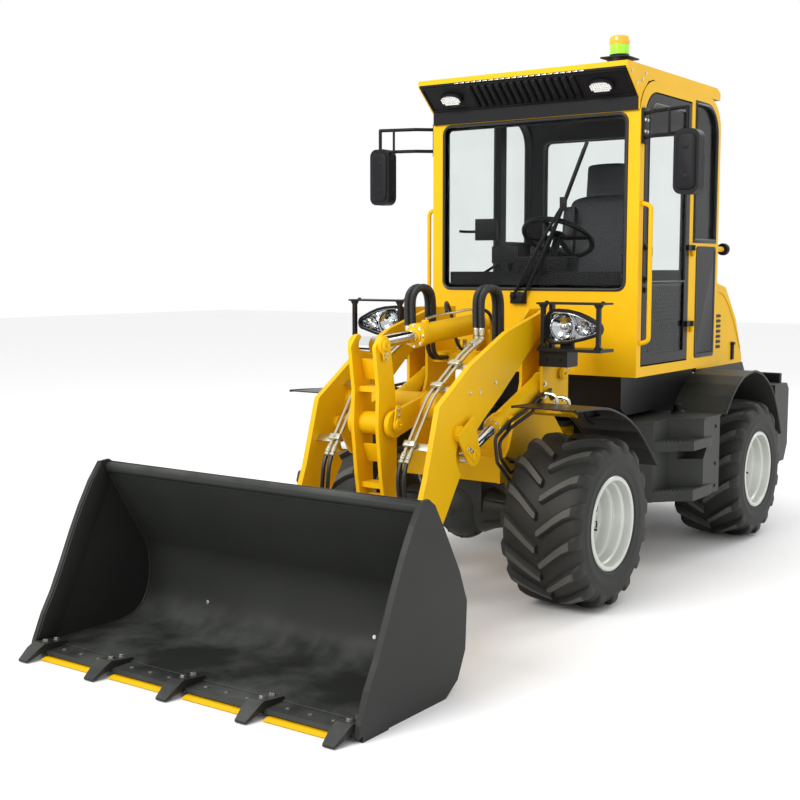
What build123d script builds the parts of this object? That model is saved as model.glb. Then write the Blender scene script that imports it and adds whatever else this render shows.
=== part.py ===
from build123d import *
import math
import os

# Compact wheel loader with a Z-bar linkage, built as separate sub-parts.
#
# Frame: +X forward, +Y the machine's left, +Z up, origin on the ground under the middle of the
# machine. Side outlines are (x, z) tables measured from the ground under the front axle, and
# side_plane puts them in the machine's frame. Millimetres.

os.makedirs("parts", exist_ok=True)

# ---- driving dimensions -------------------------------------------------------------------
front_axle_x = 380.0
wheelbase = 1896.0

tyre_radius = 393.5
tyre_width = 396.0
wheel_y = 592.0
carcass_radius = 366.0
lug_count = 16
bead_radius = 196.0

loader_y = 322.5  # mid-plane of a boom plate, a lift cylinder and the slot in the tower
boom_plate = 25.0
tower_slot = 95.0
tower_plate = 15.0

boom_pivot = (-200.0, 1280.0)
lift_base = (-220.0, 1040.0)
lift_eye = (520.0, 735.0)
crank_pivot = (745.0, 870.0)
crank_top = (790.0, 1210.0)
crank_foot = (698.0, 341.0)
hitch_pin = (990.0, 200.0)
link_pin = (1106.0, 391.0)

articulation_x = -948.0
steer_pin_z = 560.0

cab_half_width = 600.0
cab_front_x = -600.0
cab_rear_x = -1650.0
cab_floor_z = 1000.0
cab_eaves_z = 2450.0
sill_z = 1430.0
glass_thickness = 6.0

hood_half_width = 475.0
bucket_half_width = 822.0
bucket_plate = 14.0
tooth_pitch = (bucket_half_width - 52.0) / 2
tooth_width = 66.0
top_bar = (1541.0, 708.0)
fender_inner_y = 470.0
fender_outer_y = 785.0
sheet = 5.0

running_gap = 0.1
spindle_radius = 40.0
barrel_start = 72.0
rod_eye_radius = 38.0
sheet_bend = 60.0
pin_radius = 25.0
hinge_pin_radius = 32.0
steer_pin_radius = 16.0
lug_root = 335.0
differential_radius = 150.0
axle_seat_z = 546.0
neck_low_z = 440.0
neck_high_z = 690.0
tilt_ear_y = 32.0
steer_front = (articulation_x + 200.0, 180.0)
steer_rear = (articulation_x - 330.0, 200.0)
tilt_ear_outline = [(-260.0, 1120.0), (-120.0, 1120.0), (-160.0, 1275.0), (-240.0, 1275.0)]

lift_notch_radius = 100.0
lift_lug_outline = [(470.0, 735.0), (520.0, 900.0), (650.0, 830.0), (560.0, 705.0)]
lug_pad = (615.0, 835.0)
cross_tube = (500.0, 930.0)
cross_tube_radius = 60.0
crank_bracket_y = 86.0
crank_bracket_outline = [(480.0, 985.0), (745.0, 928.0), (745.0, 812.0), (510.0, 875.0)]
crank_plate_y = 56.0
link_lug_y = 30.0
lug_y = 30.0  # from the boom's mid-plane to a lift cylinder lug's inner face
link_lug_outline = [(1106.0, 437.0), (1190.0, 600.0), (1240.0, 300.0), (1180.0, 215.0), (1106.0, 345.0)]
chassis_half = 230.0
nose_half = 120.0
rear_nose_outline = [(-1150.0, 440.0), (-1150.0, 715.0), (-1400.0, 780.0), (-1400.0, 440.0)]
rear_chassis_outline = [
    (-1400.0, 800.0),
    (-2540.0, 800.0),
    (-2540.0, 560.0),
    (-2300.0, axle_seat_z),
    (-1520.0, axle_seat_z),
    (-1400.0, 440.0),
]
fork_outline = [(articulation_x, 85.0), (-1200.0, 200.0), (-1200.0, 0.0), (articulation_x, 0.0)]
tank_inner_y = 325.0
hood_front_x = -1680.0
deck_z = 965.0
skirt_outline = [
    (hood_front_x, deck_z),
    (-2430.0, deck_z),
    (-2540.0, 820.0),
    (-2540.0, 800.0),
    (hood_front_x, 805.0),
]
cab_wall = 45.0
handle_route = [
    (-634.0, cab_half_width - 10.0, 1855.0),
    (-634.0, cab_half_width + 48.0, 1840.0),
    (-634.0, cab_half_width + 48.0, 1180.0),
    (-634.0, cab_half_width - 10.0, 1165.0),
]
cab_arch = 170.0
opening_arch = 145.0
cab_side_openings = [
    # low x, high x, low z, high z, side, x of the corner that follows the arch
    (-1240.0, -650.0, 1050.0, 2400.0, 1, -650.0),
    (-1600.0, -1300.0, 1690.0, 2400.0, 1, -1600.0),
    (-1240.0, -650.0, 1430.0, 2400.0, -1, -650.0),
    (-1600.0, -1300.0, 1690.0, 2400.0, -1, -1600.0),
]
cab_end_openings = [
    # face x, half width, low z, high z
    (cab_front_x, cab_half_width - 70.0, sill_z, 2285.0),
    (cab_rear_x, cab_half_width - 120.0, 1520.0, 2285.0),
]

door_rail = 50.0
hood_hinge = (-1666.0, 1460.0)
hood_pin_radius = 6.0
roof_half_width = cab_half_width - 4.0
roof_lip = (-450.0, 2488.0)
roof_heel = (-790.0, cab_eaves_z)
beacon_place = (-520.0, 520.0)
grip_radius = 11.0
hose_radius = 11.0
pipe_radius = 8.0
bucket_back_knee = (1306.0, 330.0)
bucket_back_top = (1541.0, 712.0)
bucket_floor_z = 20.0
side_strip = 8.0
door_hinge = (-1262.0, cab_half_width + 14.0)
door_hinge_z = (1200.0, 1600.0)
hinge_knuckle_radius = 12.0
hood_sheet = 6.0
door_thickness = 34.0
seat_outline = [
    (-1080.0, 1385.0),
    (-1060.0, 1470.0),
    (-1400.0, 1470.0),
    (-1445.0, 1880.0),
    (-1475.0, 1930.0),
    (-1545.0, 1930.0),
    (-1500.0, 1385.0),
]
headrest_outline = [
    (-1475.0, 1930.0),
    (-1470.0, 2090.0),
    (-1500.0, 2120.0),
    (-1550.0, 2110.0),
    (-1545.0, 1930.0),
]
console_outline = [
    (-760.0, cab_floor_z + cab_wall),
    (-700.0, 1500.0),
    (-800.0, 1560.0),
    (-860.0, 1480.0),
    (-900.0, cab_floor_z + cab_wall),
]

# ---- planes -------------------------------------------------------------------------------
side_plane = Plane(origin=(front_axle_x, 0, 0), x_dir=(1, 0, 0), z_dir=(0, -1, 0))
plan_plane = Plane(origin=(front_axle_x, 0, 0))
cross_plane = Plane(origin=(front_axle_x, 0, 0), x_dir=(0, 1, 0), z_dir=(1, 0, 0))

steering_plane = Plane(
    origin=(front_axle_x - 900.0, 0, 1700.0), x_dir=(0, 1, 0), z_dir=(-0.5, 0, 0.866)
)


def side_at(y):
    """Side plane at y; extruding it by a positive amount goes towards -Y."""
    return side_plane.offset(-y)


def step(builder, label):
    """Label the finished sub-part and write it as parts/label.step."""
    builder.part.label = label
    export_step(builder.part, f"parts/{label}.step")


# ---- wheels -------------------------------------------------------------------------------
# Tyre sections: distance from the tyre's mid-plane, radius of the 36-sided section.
tyre_facets = 36
tyre_sections = [
    (-0.45 * tyre_width, 224.0),
    (-0.5 * tyre_width, 300.0),
    (-0.46 * tyre_width, 348.0),
    (-0.28 * tyre_width, carcass_radius),
    (0.28 * tyre_width, carcass_radius),
    (0.46 * tyre_width, 348.0),
    (0.5 * tyre_width, 300.0),
    (0.45 * tyre_width, 224.0),
]
lug_top = 387.0
lug_reach = math.sqrt(tyre_radius**2 - lug_top**2)
lug_turn = math.degrees(math.atan2(lug_reach, lug_top))
# Lug outline on its tangent plane: along the tread's edge, across the tread.
lug_outline = [
    (lug_reach - 34.0, 10.0),
    (lug_reach, 10.0),
    (-lug_reach + 44.0, 0.485 * tyre_width),
    (-lug_reach, 0.485 * tyre_width),
]

wheel_stations = [
    # name, axle x from the front axle, side
    ("front_left", 0.0, 1),
    ("front_right", 0.0, -1),
    ("rear_left", -wheelbase, 1),
    ("rear_right", -wheelbase, -1),
]

flange_y = 0.45 * tyre_width + 0.8  # where the rim's flanges turn up, just outside the beads
rim_profile = [
    # radius, distance outward from the wheel's mid-plane
    (spindle_radius + running_gap, -10.0),
    (spindle_radius + running_gap, 30.0),
    (0.0, 30.0),
    (0.0, 52.0),
    (92.0, 52.0),
    (98.0, 40.0),
    (150.0, 40.0),
    (158.0, 96.0),
    (176.0, 110.0),
    (184.0, flange_y - 29.0),
    (188.0, flange_y + 11.0),
    (218.7, flange_y + 11.0),
    (218.7, flange_y + 3.0),
    (bead_radius, flange_y),
    (bead_radius, -flange_y),
    (218.7, -flange_y - 3.0),
    (218.7, -flange_y - 11.0),
    (188.0, -flange_y - 11.0),
    (184.0, 29.0 - flange_y),
    (180.0, 26.0),
    (140.0, -10.0),
]

# The wheel's hub stands on the origin with its outer face towards +Y.
wheel_plane = Plane(origin=(0, 0, 0), x_dir=(1, 0, 0), z_dir=(0, 1, 0))

with BuildPart() as wheel_tyre:
    for section_y, radius in tyre_sections:
        with BuildSketch(wheel_plane.offset(section_y)):
            RegularPolygon(radius=radius, side_count=tyre_facets)
    loft(ruled=True)
    for hand in (-1, 1):
        for index in range(lug_count):
            turn = math.radians(180.0 - lug_turn + 360.0 * (index + 0.25 * (1 + hand)) / lug_count)
            outward = Vector(math.sin(turn), 0, math.cos(turn))
            along = Vector(math.cos(turn), 0, -math.sin(turn))
            with BuildSketch(Plane(outward * lug_top, x_dir=along, z_dir=-outward)):
                with BuildLine():
                    Polyline([(x, hand * y) for x, y in lug_outline], close=True)
                make_face()
            extrude(amount=lug_top - lug_root)
    with BuildSketch(wheel_plane):
        Circle(bead_radius)
    extrude(amount=tyre_width, both=True, mode=Mode.SUBTRACT)

with BuildPart() as wheel_rim:
    with BuildSketch(Plane.XY):
        with BuildLine():
            Polyline(rim_profile, close=True)
        make_face()
    revolve(axis=Axis.Y)

for wheel_name, axle_x, side in wheel_stations:
    for piece_name, pattern in (("tyre", wheel_tyre.part), ("rim", wheel_rim.part)):
        handed = pattern if side > 0 else mirror(pattern, about=Plane.XZ, mode=Mode.PRIVATE)
        with BuildPart() as wheel_piece:
            with Locations((front_axle_x + axle_x, side * wheel_y, tyre_radius)):
                add(handed)
        step(wheel_piece, f"{piece_name}_{wheel_name}")

# ---- axles --------------------------------------------------------------------------------
# Axle stack: radius, inner y, outer y.
axle_stack = [
    (64.0, 0.0, 410.0),
    (112.0, 330.0, 372.0),
    (128.0, 410.0, 500.0),
    (96.0, 500.0, 574.0),
    (spindle_radius, 574.0, 612.0),
]

for axle_name, axle_x in (("front_axle", 0.0), ("rear_axle", -wheelbase)):
    with BuildPart() as axle:
        for radius, inner_y, outer_y in axle_stack:
            with BuildSketch(side_at(inner_y)):
                with Locations((axle_x, tyre_radius)):
                    Circle(radius)
            extrude(amount=-(outer_y - inner_y))
        mirror(about=Plane.XZ)
        with Locations((front_axle_x + axle_x, 0, tyre_radius)):
            Sphere(differential_radius)
        with BuildSketch(plan_plane.offset(tyre_radius)):
            with Locations((axle_x, 0)):
                Rectangle(220.0, 300.0)
        extrude(amount=axle_seat_z - tyre_radius)
    step(axle, axle_name)

# ---- front frame --------------------------------------------------------------------------
slot_inner = loader_y - tower_slot / 2
slot_outer = loader_y + tower_slot / 2

tower_inner_outline = [
    (-300.0, 1345.0),
    (-110.0, 1345.0),
    (-45.0, 1290.0),
    (-45.0, 1000.0),
    (70.0, 700.0),
    (150.0, 620.0),
    (150.0, axle_seat_z),
    (-300.0, axle_seat_z),
    (-480.0, 560.0),
    (-480.0, 700.0),
    (-300.0, 880.0),
]
tower_outer_outline = [
    (-300.0, 1345.0),
    (-110.0, 1345.0),
    (-45.0, 1290.0),
    (-45.0, 940.0),
    (-90.0, 885.0),
    (-300.0, 885.0),
]
# Arm whose upper face lies along the fender between two of its corners.
fender_carrier = [(-126.0, 855.0), (-70.0, 875.0), (-66.0, 863.7), (-122.0, 843.7)]
neck_outline = [
    # (x, y) half outline of the neck that runs back to the articulation
    (-470.0, 255.0),
    (-600.0, 110.0),
    (articulation_x, 75.0),
    (articulation_x, 0.0),
    (-300.0, 0.0),
    (-300.0, 255.0),
]

with BuildPart() as front_frame:
    for outline, inner_y, thickness in (
        (tower_inner_outline, slot_inner - tower_plate, tower_plate),
        (tower_outer_outline, slot_outer, tower_plate),
    ):
        with BuildSketch(side_at(inner_y)):
            with BuildLine():
                Polyline(outline, close=True)
            make_face()
        extrude(amount=-thickness)
    # Slot floor and slot back.
    with BuildSketch(side_at(slot_inner)):
        with Locations((-195.0, 892.5)):
            Rectangle(210.0, 15.0)
        with Locations((-294.0, 1115.0)):
            Rectangle(12.0, 460.0)
    extrude(amount=-tower_slot)
    # Pins of the boom and of the lift cylinder.
    with BuildSketch(side_at(slot_inner - tower_plate)):
        with Locations(boom_pivot, lift_base):
            Circle(pin_radius)
    extrude(amount=-(tower_slot + 2 * tower_plate + 12.0))
    # Fender carrier.
    with BuildSketch(side_at(slot_inner)):
        with BuildLine():
            Polyline(fender_carrier, close=True)
        make_face()
    extrude(amount=-(fender_inner_y + 60.0 - slot_inner))
    # Neck, hollow between a top and a bottom plate.
    for low_z, high_z in ((neck_low_z, neck_low_z + 25.0), (neck_high_z - 25.0, neck_high_z)):
        with BuildSketch(plan_plane.offset(low_z)):
            with BuildLine():
                Polyline(neck_outline, close=True)
            make_face()
        extrude(amount=high_z - low_z)
    with BuildSketch(side_at(0)):
        with Locations((-390.0, (neck_low_z + neck_high_z) / 2)):
            Rectangle(180.0, neck_high_z - neck_low_z)
        with Locations((40.0, axle_seat_z + 60.0)):
            Rectangle(200.0, 120.0)
        with Locations((-180.0, 1100.0)):
            Rectangle(180.0, 50.0)
    extrude(amount=-slot_inner)
    # Ears of the tilt cylinder.
    with BuildSketch(side_at(tilt_ear_y)):
        with BuildLine():
            Polyline(tilt_ear_outline, close=True)
        make_face()
        with Locations(boom_pivot):
            Circle(46.0)
    extrude(amount=-18.0)
    with BuildSketch(side_at(0)):
        with Locations(boom_pivot):
            Circle(pin_radius)
    extrude(amount=-(tilt_ear_y + 18.0))
    # Steering ears.
    with BuildSketch(plan_plane.offset(steer_pin_z - 45.0)):
        with Locations((steer_front[0], steer_front[1])):
            Circle(42.0)
        with Locations((steer_front[0] + 40.0, steer_front[1] - 55.0)):
            Rectangle(120.0, 110.0)
    extrude(amount=16.0)
    with BuildSketch(plan_plane.offset(steer_pin_z + 29.0)):
        with Locations((steer_front[0], steer_front[1])):
            Circle(42.0)
        with Locations((steer_front[0] + 40.0, steer_front[1] - 55.0)):
            Rectangle(120.0, 110.0)
    extrude(amount=16.0)
    with BuildSketch(side_at(0)):
        with Locations((-700.0, (neck_low_z + neck_high_z) / 2)):
            Rectangle(300.0, neck_high_z - neck_low_z)
    extrude(amount=-80.0)
    mirror(about=Plane.XZ)
    with BuildSketch(plan_plane.offset(neck_low_z)):
        with Locations((articulation_x, 0)):
            Circle(75.0)
    extrude(amount=neck_high_z - neck_low_z)
    with BuildSketch(plan_plane.offset(neck_low_z)):
        with Locations((articulation_x, 0)):
            Circle(hinge_pin_radius + running_gap)
    extrude(amount=neck_high_z - neck_low_z, mode=Mode.SUBTRACT)
step(front_frame, "front_frame")

fender_line = [
    (-455.0, 600.0),
    (-361.0, 690.0),
    (-256.0, 780.0),
    (-140.0, 850.0),
    (0.0, 900.0),
    (130.0, 928.0),
    (390.0, 935.0),
]
with BuildPart() as front_fenders:
    with BuildSketch(side_at(fender_inner_y)):
        with BuildLine():
            FilletPolyline(fender_line, radius=sheet_bend)
            offset(amount=sheet, side=Side.LEFT)
        make_face()
    extrude(amount=-(fender_outer_y - fender_inner_y))
    mirror(about=Plane.XZ)
step(front_fenders, "front_fenders")

# ---- boom ---------------------------------------------------------------------------------
boom_outline = [
    (-200.0, 1350.0),
    (-40.0, 1310.0),
    (200.0, 1250.0),
    (500.0, 1120.0),
    (750.0, 960.0),
    (840.0, 670.0),
    (930.0, 450.0),
    (1045.0, 225.0),
    (990.0, 142.0),
    (930.0, 175.0),
    (800.0, 350.0),
    (690.0, 500.0),
    (570.0, 670.0),
    (455.0, 830.0),
    (400.0, 872.0),
    (240.0, 975.0),
    (-90.0, 1214.0),
    (-200.0, 1215.0),
]
boom_inner = loader_y - boom_plate / 2
boom_boss_radius = 58.0

with BuildPart() as boom:
    with BuildSketch(side_at(boom_inner)) as boom_profile:
        with BuildLine():
            Polyline(boom_outline, close=True)
        make_face()
        fillet(boom_profile.vertices(), radius=18.0)
        with Locations(boom_pivot):
            Circle(boom_boss_radius)
        with Locations(hitch_pin):
            Circle(62.0)
        with Locations(lift_eye):
            Circle(lift_notch_radius, mode=Mode.SUBTRACT)
    extrude(amount=-boom_plate)
    # Bosses of the two end bearings.
    for centre, radius, length in ((boom_pivot, boom_boss_radius, 84.0), (hitch_pin, 50.0, 38.0)):
        with BuildSketch(side_at(loader_y - length / 2)):
            with Locations(centre):
                Circle(radius)
        extrude(amount=-length)
    # Lugs on both sides of the lift cylinder's eye.
    for inner_y in (loader_y - lug_y - 12.0, loader_y + lug_y):
        with BuildSketch(side_at(inner_y)):
            with Locations(lift_eye):
                Circle(50.0)
            with BuildLine():
                Polyline(lift_lug_outline, close=True)
            make_face()
        extrude(amount=-12.0)
    for inner_y, thickness in ((boom_inner - 20.0, 20.0), (boom_inner + boom_plate, 20.0)):
        with BuildSketch(side_at(inner_y)):
            with Locations(lug_pad):
                Circle(34.0)
        extrude(amount=-thickness)
    # Cross tube and bell crank brackets.
    with BuildSketch(side_at(0)):
        with Locations(cross_tube):
            Circle(cross_tube_radius)
    extrude(amount=-boom_inner)
    with BuildSketch(side_at(crank_bracket_y)):
        with BuildLine():
            Polyline(crank_bracket_outline, close=True)
        make_face()
        with Locations(crank_pivot):
            Circle(58.0)
    extrude(amount=-22.0)
    with BuildSketch(side_at(0)):
        with Locations(crank_pivot):
            Circle(pin_radius)
    extrude(amount=-(crank_bracket_y + 30.0))
    # Bores of the two end bearings.
    with BuildSketch(side_at(0)):
        with Locations(boom_pivot, hitch_pin):
            Circle(pin_radius + running_gap)
    extrude(amount=-500.0, mode=Mode.SUBTRACT)
    mirror(about=Plane.XZ)
step(boom, "boom")

# ---- bell crank and link ------------------------------------------------------------------
crank_outline = [
    (790.0, 1265.0),
    (845.0, 1205.0),
    (818.0, 1020.0),
    (825.0, 870.0),
    (800.0, 650.0),
    (775.0, 500.0),
    (758.0, 330.0),
    (698.0, 280.0),
    (640.0, 330.0),
    (668.0, 480.0),
    (690.0, 640.0),
    (690.0, 800.0),
    (700.0, 1000.0),
    (735.0, 1205.0),
]
with BuildPart() as bell_crank:
    with BuildSketch(side_at(crank_plate_y)) as crank_profile:
        with BuildLine():
            Polyline(crank_outline, close=True)
        make_face()
        fillet(crank_profile.vertices(), radius=22.0)
    extrude(amount=-18.0)
    with BuildSketch(side_at(0)):
        with Locations(crank_foot):
            Circle(pin_radius)
    extrude(amount=-(crank_plate_y + 24.0))
    with BuildSketch(side_at(crank_plate_y)):
        with Locations(crank_top):
            Circle(36.0)
    extrude(amount=-28.0)
    with BuildSketch(side_at(0)):
        with Locations(crank_pivot):
            Circle(50.0)
        with Locations((755.0, 1020.0), (735.0, 600.0)):
            Rectangle(70.0, 24.0)
    extrude(amount=-crank_plate_y)
    with BuildSketch(side_at(0)):
        with Locations(crank_pivot):
            Circle(pin_radius + running_gap)
    extrude(amount=-200.0, mode=Mode.SUBTRACT)
    mirror(about=Plane.XZ)
step(bell_crank, "bell_crank")

with BuildPart() as link:
    with BuildSketch(side_at(0)):
        with BuildLine():
            Line(crank_foot, link_pin)
        trace(line_width=62.0)
        with Locations(crank_foot, link_pin):
            Circle(46.0)
        with Locations(crank_foot):
            Circle(pin_radius + running_gap, mode=Mode.SUBTRACT)
    extrude(amount=24.0, both=True)
step(link, "bucket_link")

# ---- hydraulic cylinders ------------------------------------------------------------------
# Bore tubes: name, base pin, rod pin, mid-plane y, barrel radius, rod radius, eye half width,
# length from the base pin to the barrel's open end.
cylinders = [
    ("lift", lift_base, lift_eye, loader_y, 40.0, 24.0, 15.0, 560.0),
    ("tilt", boom_pivot, crank_top, 0.0, 48.0, 28.0, 26.0, 650.0),
]
for cyl_name, base, eye, mid_y, bore_radius, rod_radius, eye_half, barrel_end in cylinders:
    axis_line = Vector(eye[0] - base[0], 0, eye[1] - base[1])
    reach = axis_line.length
    base_point = Vector(front_axle_x + base[0], mid_y, base[1])
    tube_plane = Plane(base_point, x_dir=(0, 1, 0), z_dir=axis_line)
    eye_plane = Plane(base_point, x_dir=axis_line, z_dir=(0, 1, 0))
    with BuildPart() as barrel:
        with BuildSketch(tube_plane.offset(barrel_start)):
            Circle(bore_radius)
        extrude(amount=barrel_end - barrel_start)
        with BuildSketch(tube_plane.offset(20.0)):
            Circle(rod_radius)
        extrude(amount=barrel_start)
        with BuildSketch(tube_plane.offset(barrel_end - 60.0)):
            Circle(bore_radius + 4.0)
        extrude(amount=50.0)
        with BuildSketch(eye_plane):
            Circle(40.0)
        extrude(amount=eye_half, both=True)
        with BuildSketch(tube_plane.offset(barrel_start + 30.0)):
            Circle(rod_radius + running_gap)
        extrude(amount=reach, mode=Mode.SUBTRACT)
        with BuildSketch(eye_plane):
            Circle(pin_radius + running_gap)
        extrude(amount=100.0, both=True, mode=Mode.SUBTRACT)
        if mid_y > 0:
            mirror(about=Plane.XZ)
    step(barrel, f"{cyl_name}_cylinder_barrel")

    with BuildPart() as rod:
        with BuildSketch(tube_plane.offset(0.52 * reach)):
            Circle(rod_radius)
        extrude(amount=0.48 * reach - 20.0)
        with BuildSketch(eye_plane):
            with Locations((reach, 0)):
                Circle(rod_eye_radius)
        extrude(amount=eye_half, both=True)
        if mid_y > 0:
            mirror(about=Plane.XZ)
    step(rod, f"{cyl_name}_cylinder_rod")

for hand_name, hand in (("left", 1), ("right", -1)):
    rear_point = Vector(front_axle_x + steer_rear[0], hand * steer_rear[1], steer_pin_z)
    front_point = Vector(front_axle_x + steer_front[0], hand * steer_front[1], steer_pin_z)
    steer_line = front_point - rear_point
    tube_plane = Plane(rear_point, z_dir=steer_line)
    with BuildPart() as barrel:
        with BuildSketch(tube_plane.offset(50.0)):
            Circle(30.0)
        extrude(amount=300.0)
        with BuildSketch(tube_plane.offset(15.0)):
            Circle(18.0)
        extrude(amount=40.0)
        with BuildSketch(Plane(rear_point)):
            Circle(26.0)
        extrude(amount=22.0, both=True)
        with BuildSketch(tube_plane.offset(70.0)):
            Circle(16.0 + running_gap)
        extrude(amount=400.0, mode=Mode.SUBTRACT)
        with BuildSketch(Plane(rear_point)):
            Circle(steer_pin_radius + running_gap)
        extrude(amount=60.0, both=True, mode=Mode.SUBTRACT)
    step(barrel, f"steer_barrel_{hand_name}")
    with BuildPart() as rod:
        with BuildSketch(tube_plane.offset(200.0)):
            Circle(16.0)
        extrude(amount=steer_line.length - 212.0)
        with BuildSketch(Plane(front_point)):
            Circle(28.0)
        extrude(amount=22.0, both=True)
    step(rod, f"steer_rod_{hand_name}")

# ---- quick hitch and bucket ---------------------------------------------------------------
bucket_outside = [
    (1860.0, bucket_floor_z),
    (1440.0, bucket_floor_z),
    (1345.0, 80.0),
    (1306.0, 190.0),
    bucket_back_knee,
    bucket_back_top,
]
bucket_side = [
    (1935.0, 0.0),
    (1430.0, 0.0),
    (1350.0, 50.0),
    (1300.0, 150.0),
    (1290.0, 330.0),
    (1340.0, 450.0),
    (1440.0, 620.0),
    (1500.0, 715.0),
    (1540.0, 742.0),
    (1585.0, 738.0),
    (1640.0, 665.0),
    (1695.0, 570.0),
    (1745.0, 470.0),
    (1795.0, 360.0),
    (1850.0, 245.0),
    (1900.0, 160.0),
    (1945.0, 60.0),
    (1955.0, 20.0),
]
side_strip_outline = bucket_side[9:] + [
    (1850.0, 20.0),
    (1838.0, 80.0),
    (1796.0, 160.0),
    (1745.0, 250.0),
    (1690.0, 360.0),
    (1640.0, 470.0),
    (1592.0, 560.0),
    (1545.0, 645.0),
    (1510.0, 700.0),
]
side_boot_outline = [(1790.0, 0.0), (1790.0, 70.0), (1860.0, 110.0), (1925.0, 70.0), (1935.0, 0.0)]
back_contact = [
    bucket_back_knee[i] + 0.5 * (bucket_back_top[i] - bucket_back_knee[i]) for i in (0, 1)
]
hitch_plate_outline = [
    (990.0, 262.0),
    (1110.0, 560.0),
    (1200.0, 640.0),
    (1300.0, 600.0),
    tuple(back_contact),
    bucket_back_knee,
    (1306.0, 215.0),
    (1140.0, 140.0),
    (990.0, 138.0),
]

with BuildPart() as hitch:
    for inner_y in (loader_y - 42.0, loader_y + 24.0):
        with BuildSketch(side_at(inner_y)):
            with BuildLine():
                Polyline(hitch_plate_outline, close=True)
            make_face()
            with Locations(hitch_pin):
                Circle(62.0)
        extrude(amount=-18.0)
    with BuildSketch(side_at(0)):
        with Locations((1185.0, 575.0)):
            Circle(38.0)
        with Locations((1180.0, 215.0)):
            Circle(38.0)
    extrude(amount=-(loader_y + 42.0))
    with BuildSketch(side_at(loader_y - 42.0)):
        with Locations(hitch_pin):
            Circle(pin_radius)
    extrude(amount=-84.0)
    with BuildSketch(side_at(link_lug_y)):
        with BuildLine():
            Polyline(link_lug_outline, close=True)
        make_face()
        with Locations(link_pin):
            Circle(46.0)
    extrude(amount=-18.0)
    mirror(about=Plane.XZ)
step(hitch, "quick_hitch")

with BuildPart() as bucket:
    with BuildSketch(side_at(0)):
        with BuildLine():
            FilletPolyline(bucket_outside, radius=50.0)
            offset(amount=bucket_plate, side=Side.RIGHT)
        make_face()
    extrude(amount=-(bucket_half_width - side_strip - bucket_plate))
    with BuildSketch(side_at(bucket_half_width - side_strip - bucket_plate)):
        with BuildLine():
            Polyline(bucket_side, close=True)
        make_face()
    extrude(amount=-bucket_plate)
    for outline, inner_y in (
        (side_strip_outline, bucket_half_width - side_strip),
        (side_boot_outline, bucket_half_width - side_strip),
    ):
        with BuildSketch(side_at(inner_y)):
            with BuildLine():
                Polyline(outline, close=True)
            make_face()
        extrude(amount=-side_strip)
    # Rolled top bar and the wear strips under the floor.
    with BuildSketch(side_at(0)):
        with Locations(top_bar):
            Circle(24.0)
        with Locations((1640.0, bucket_floor_z / 2)):
            Rectangle(420.0, bucket_floor_z)
    extrude(amount=-(bucket_half_width - side_strip - bucket_plate))
    with BuildSketch(side_at(95.0)):
        with Locations((1640.0, bucket_floor_z / 2)):
            Rectangle(421.0, bucket_floor_z)
    extrude(amount=-(bucket_half_width - 250.0), mode=Mode.SUBTRACT)
    mirror(about=Plane.XZ)
step(bucket, "bucket_shell")

edge_plate_outline = [(1860.0, 12.0), (1930.0, 12.0), (1955.0, 20.0), (1948.0, 34.0), (1860.0, 34.0)]
with BuildPart() as edge:
    with BuildSketch(side_at(0)):
        with BuildLine():
            Polyline(edge_plate_outline, close=True)
        make_face()
    extrude(amount=bucket_half_width - side_strip - bucket_plate, both=True)
step(edge, "cutting_edge")

# Bolted edge blades, one between each pair of teeth.
blade_outline = [(1875.0, 0.0), (1972.0, 0.0), (1984.0, 6.0), (1962.0, 12.0), (1875.0, 12.0)]
blade_gap = 92.0
with BuildPart() as blades:
    for index in range(4):
        with BuildSketch(side_at((index - 1.5) * tooth_pitch + (tooth_pitch - blade_gap) / 2)):
            with BuildLine():
                Polyline(blade_outline, close=True)
            make_face()
        extrude(amount=tooth_pitch - blade_gap)
step(blades, "edge_blades")

# Tooth: shank straddling the edge from above, then a tapered point.
tooth_shank_outline = [
    (1845.0, 34.0),
    (1948.0, 34.0),
    (1990.0, 22.0),
    (1990.0, 46.0),
    (1955.0, 62.0),
    (1845.0, 50.0),
]
tooth_point_width = 48.0
with BuildPart() as teeth:
    for index in range(-2, 3):
        tooth_y = index * (tooth_pitch - 4.0)
        with BuildSketch(side_at(tooth_y + tooth_width / 2)):
            with BuildLine():
                Polyline(tooth_shank_outline, close=True)
            make_face()
        extrude(amount=tooth_width)
        with BuildSketch(cross_plane.offset(1990.0)):
            with Locations((tooth_y, 34.0)):
                Rectangle(tooth_width, 24.0)
        with BuildSketch(cross_plane.offset(2040.0)):
            with Locations((tooth_y, 8.0)):
                Rectangle(tooth_point_width, 8.0)
        loft(ruled=True)
step(teeth, "bucket_teeth")

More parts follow.
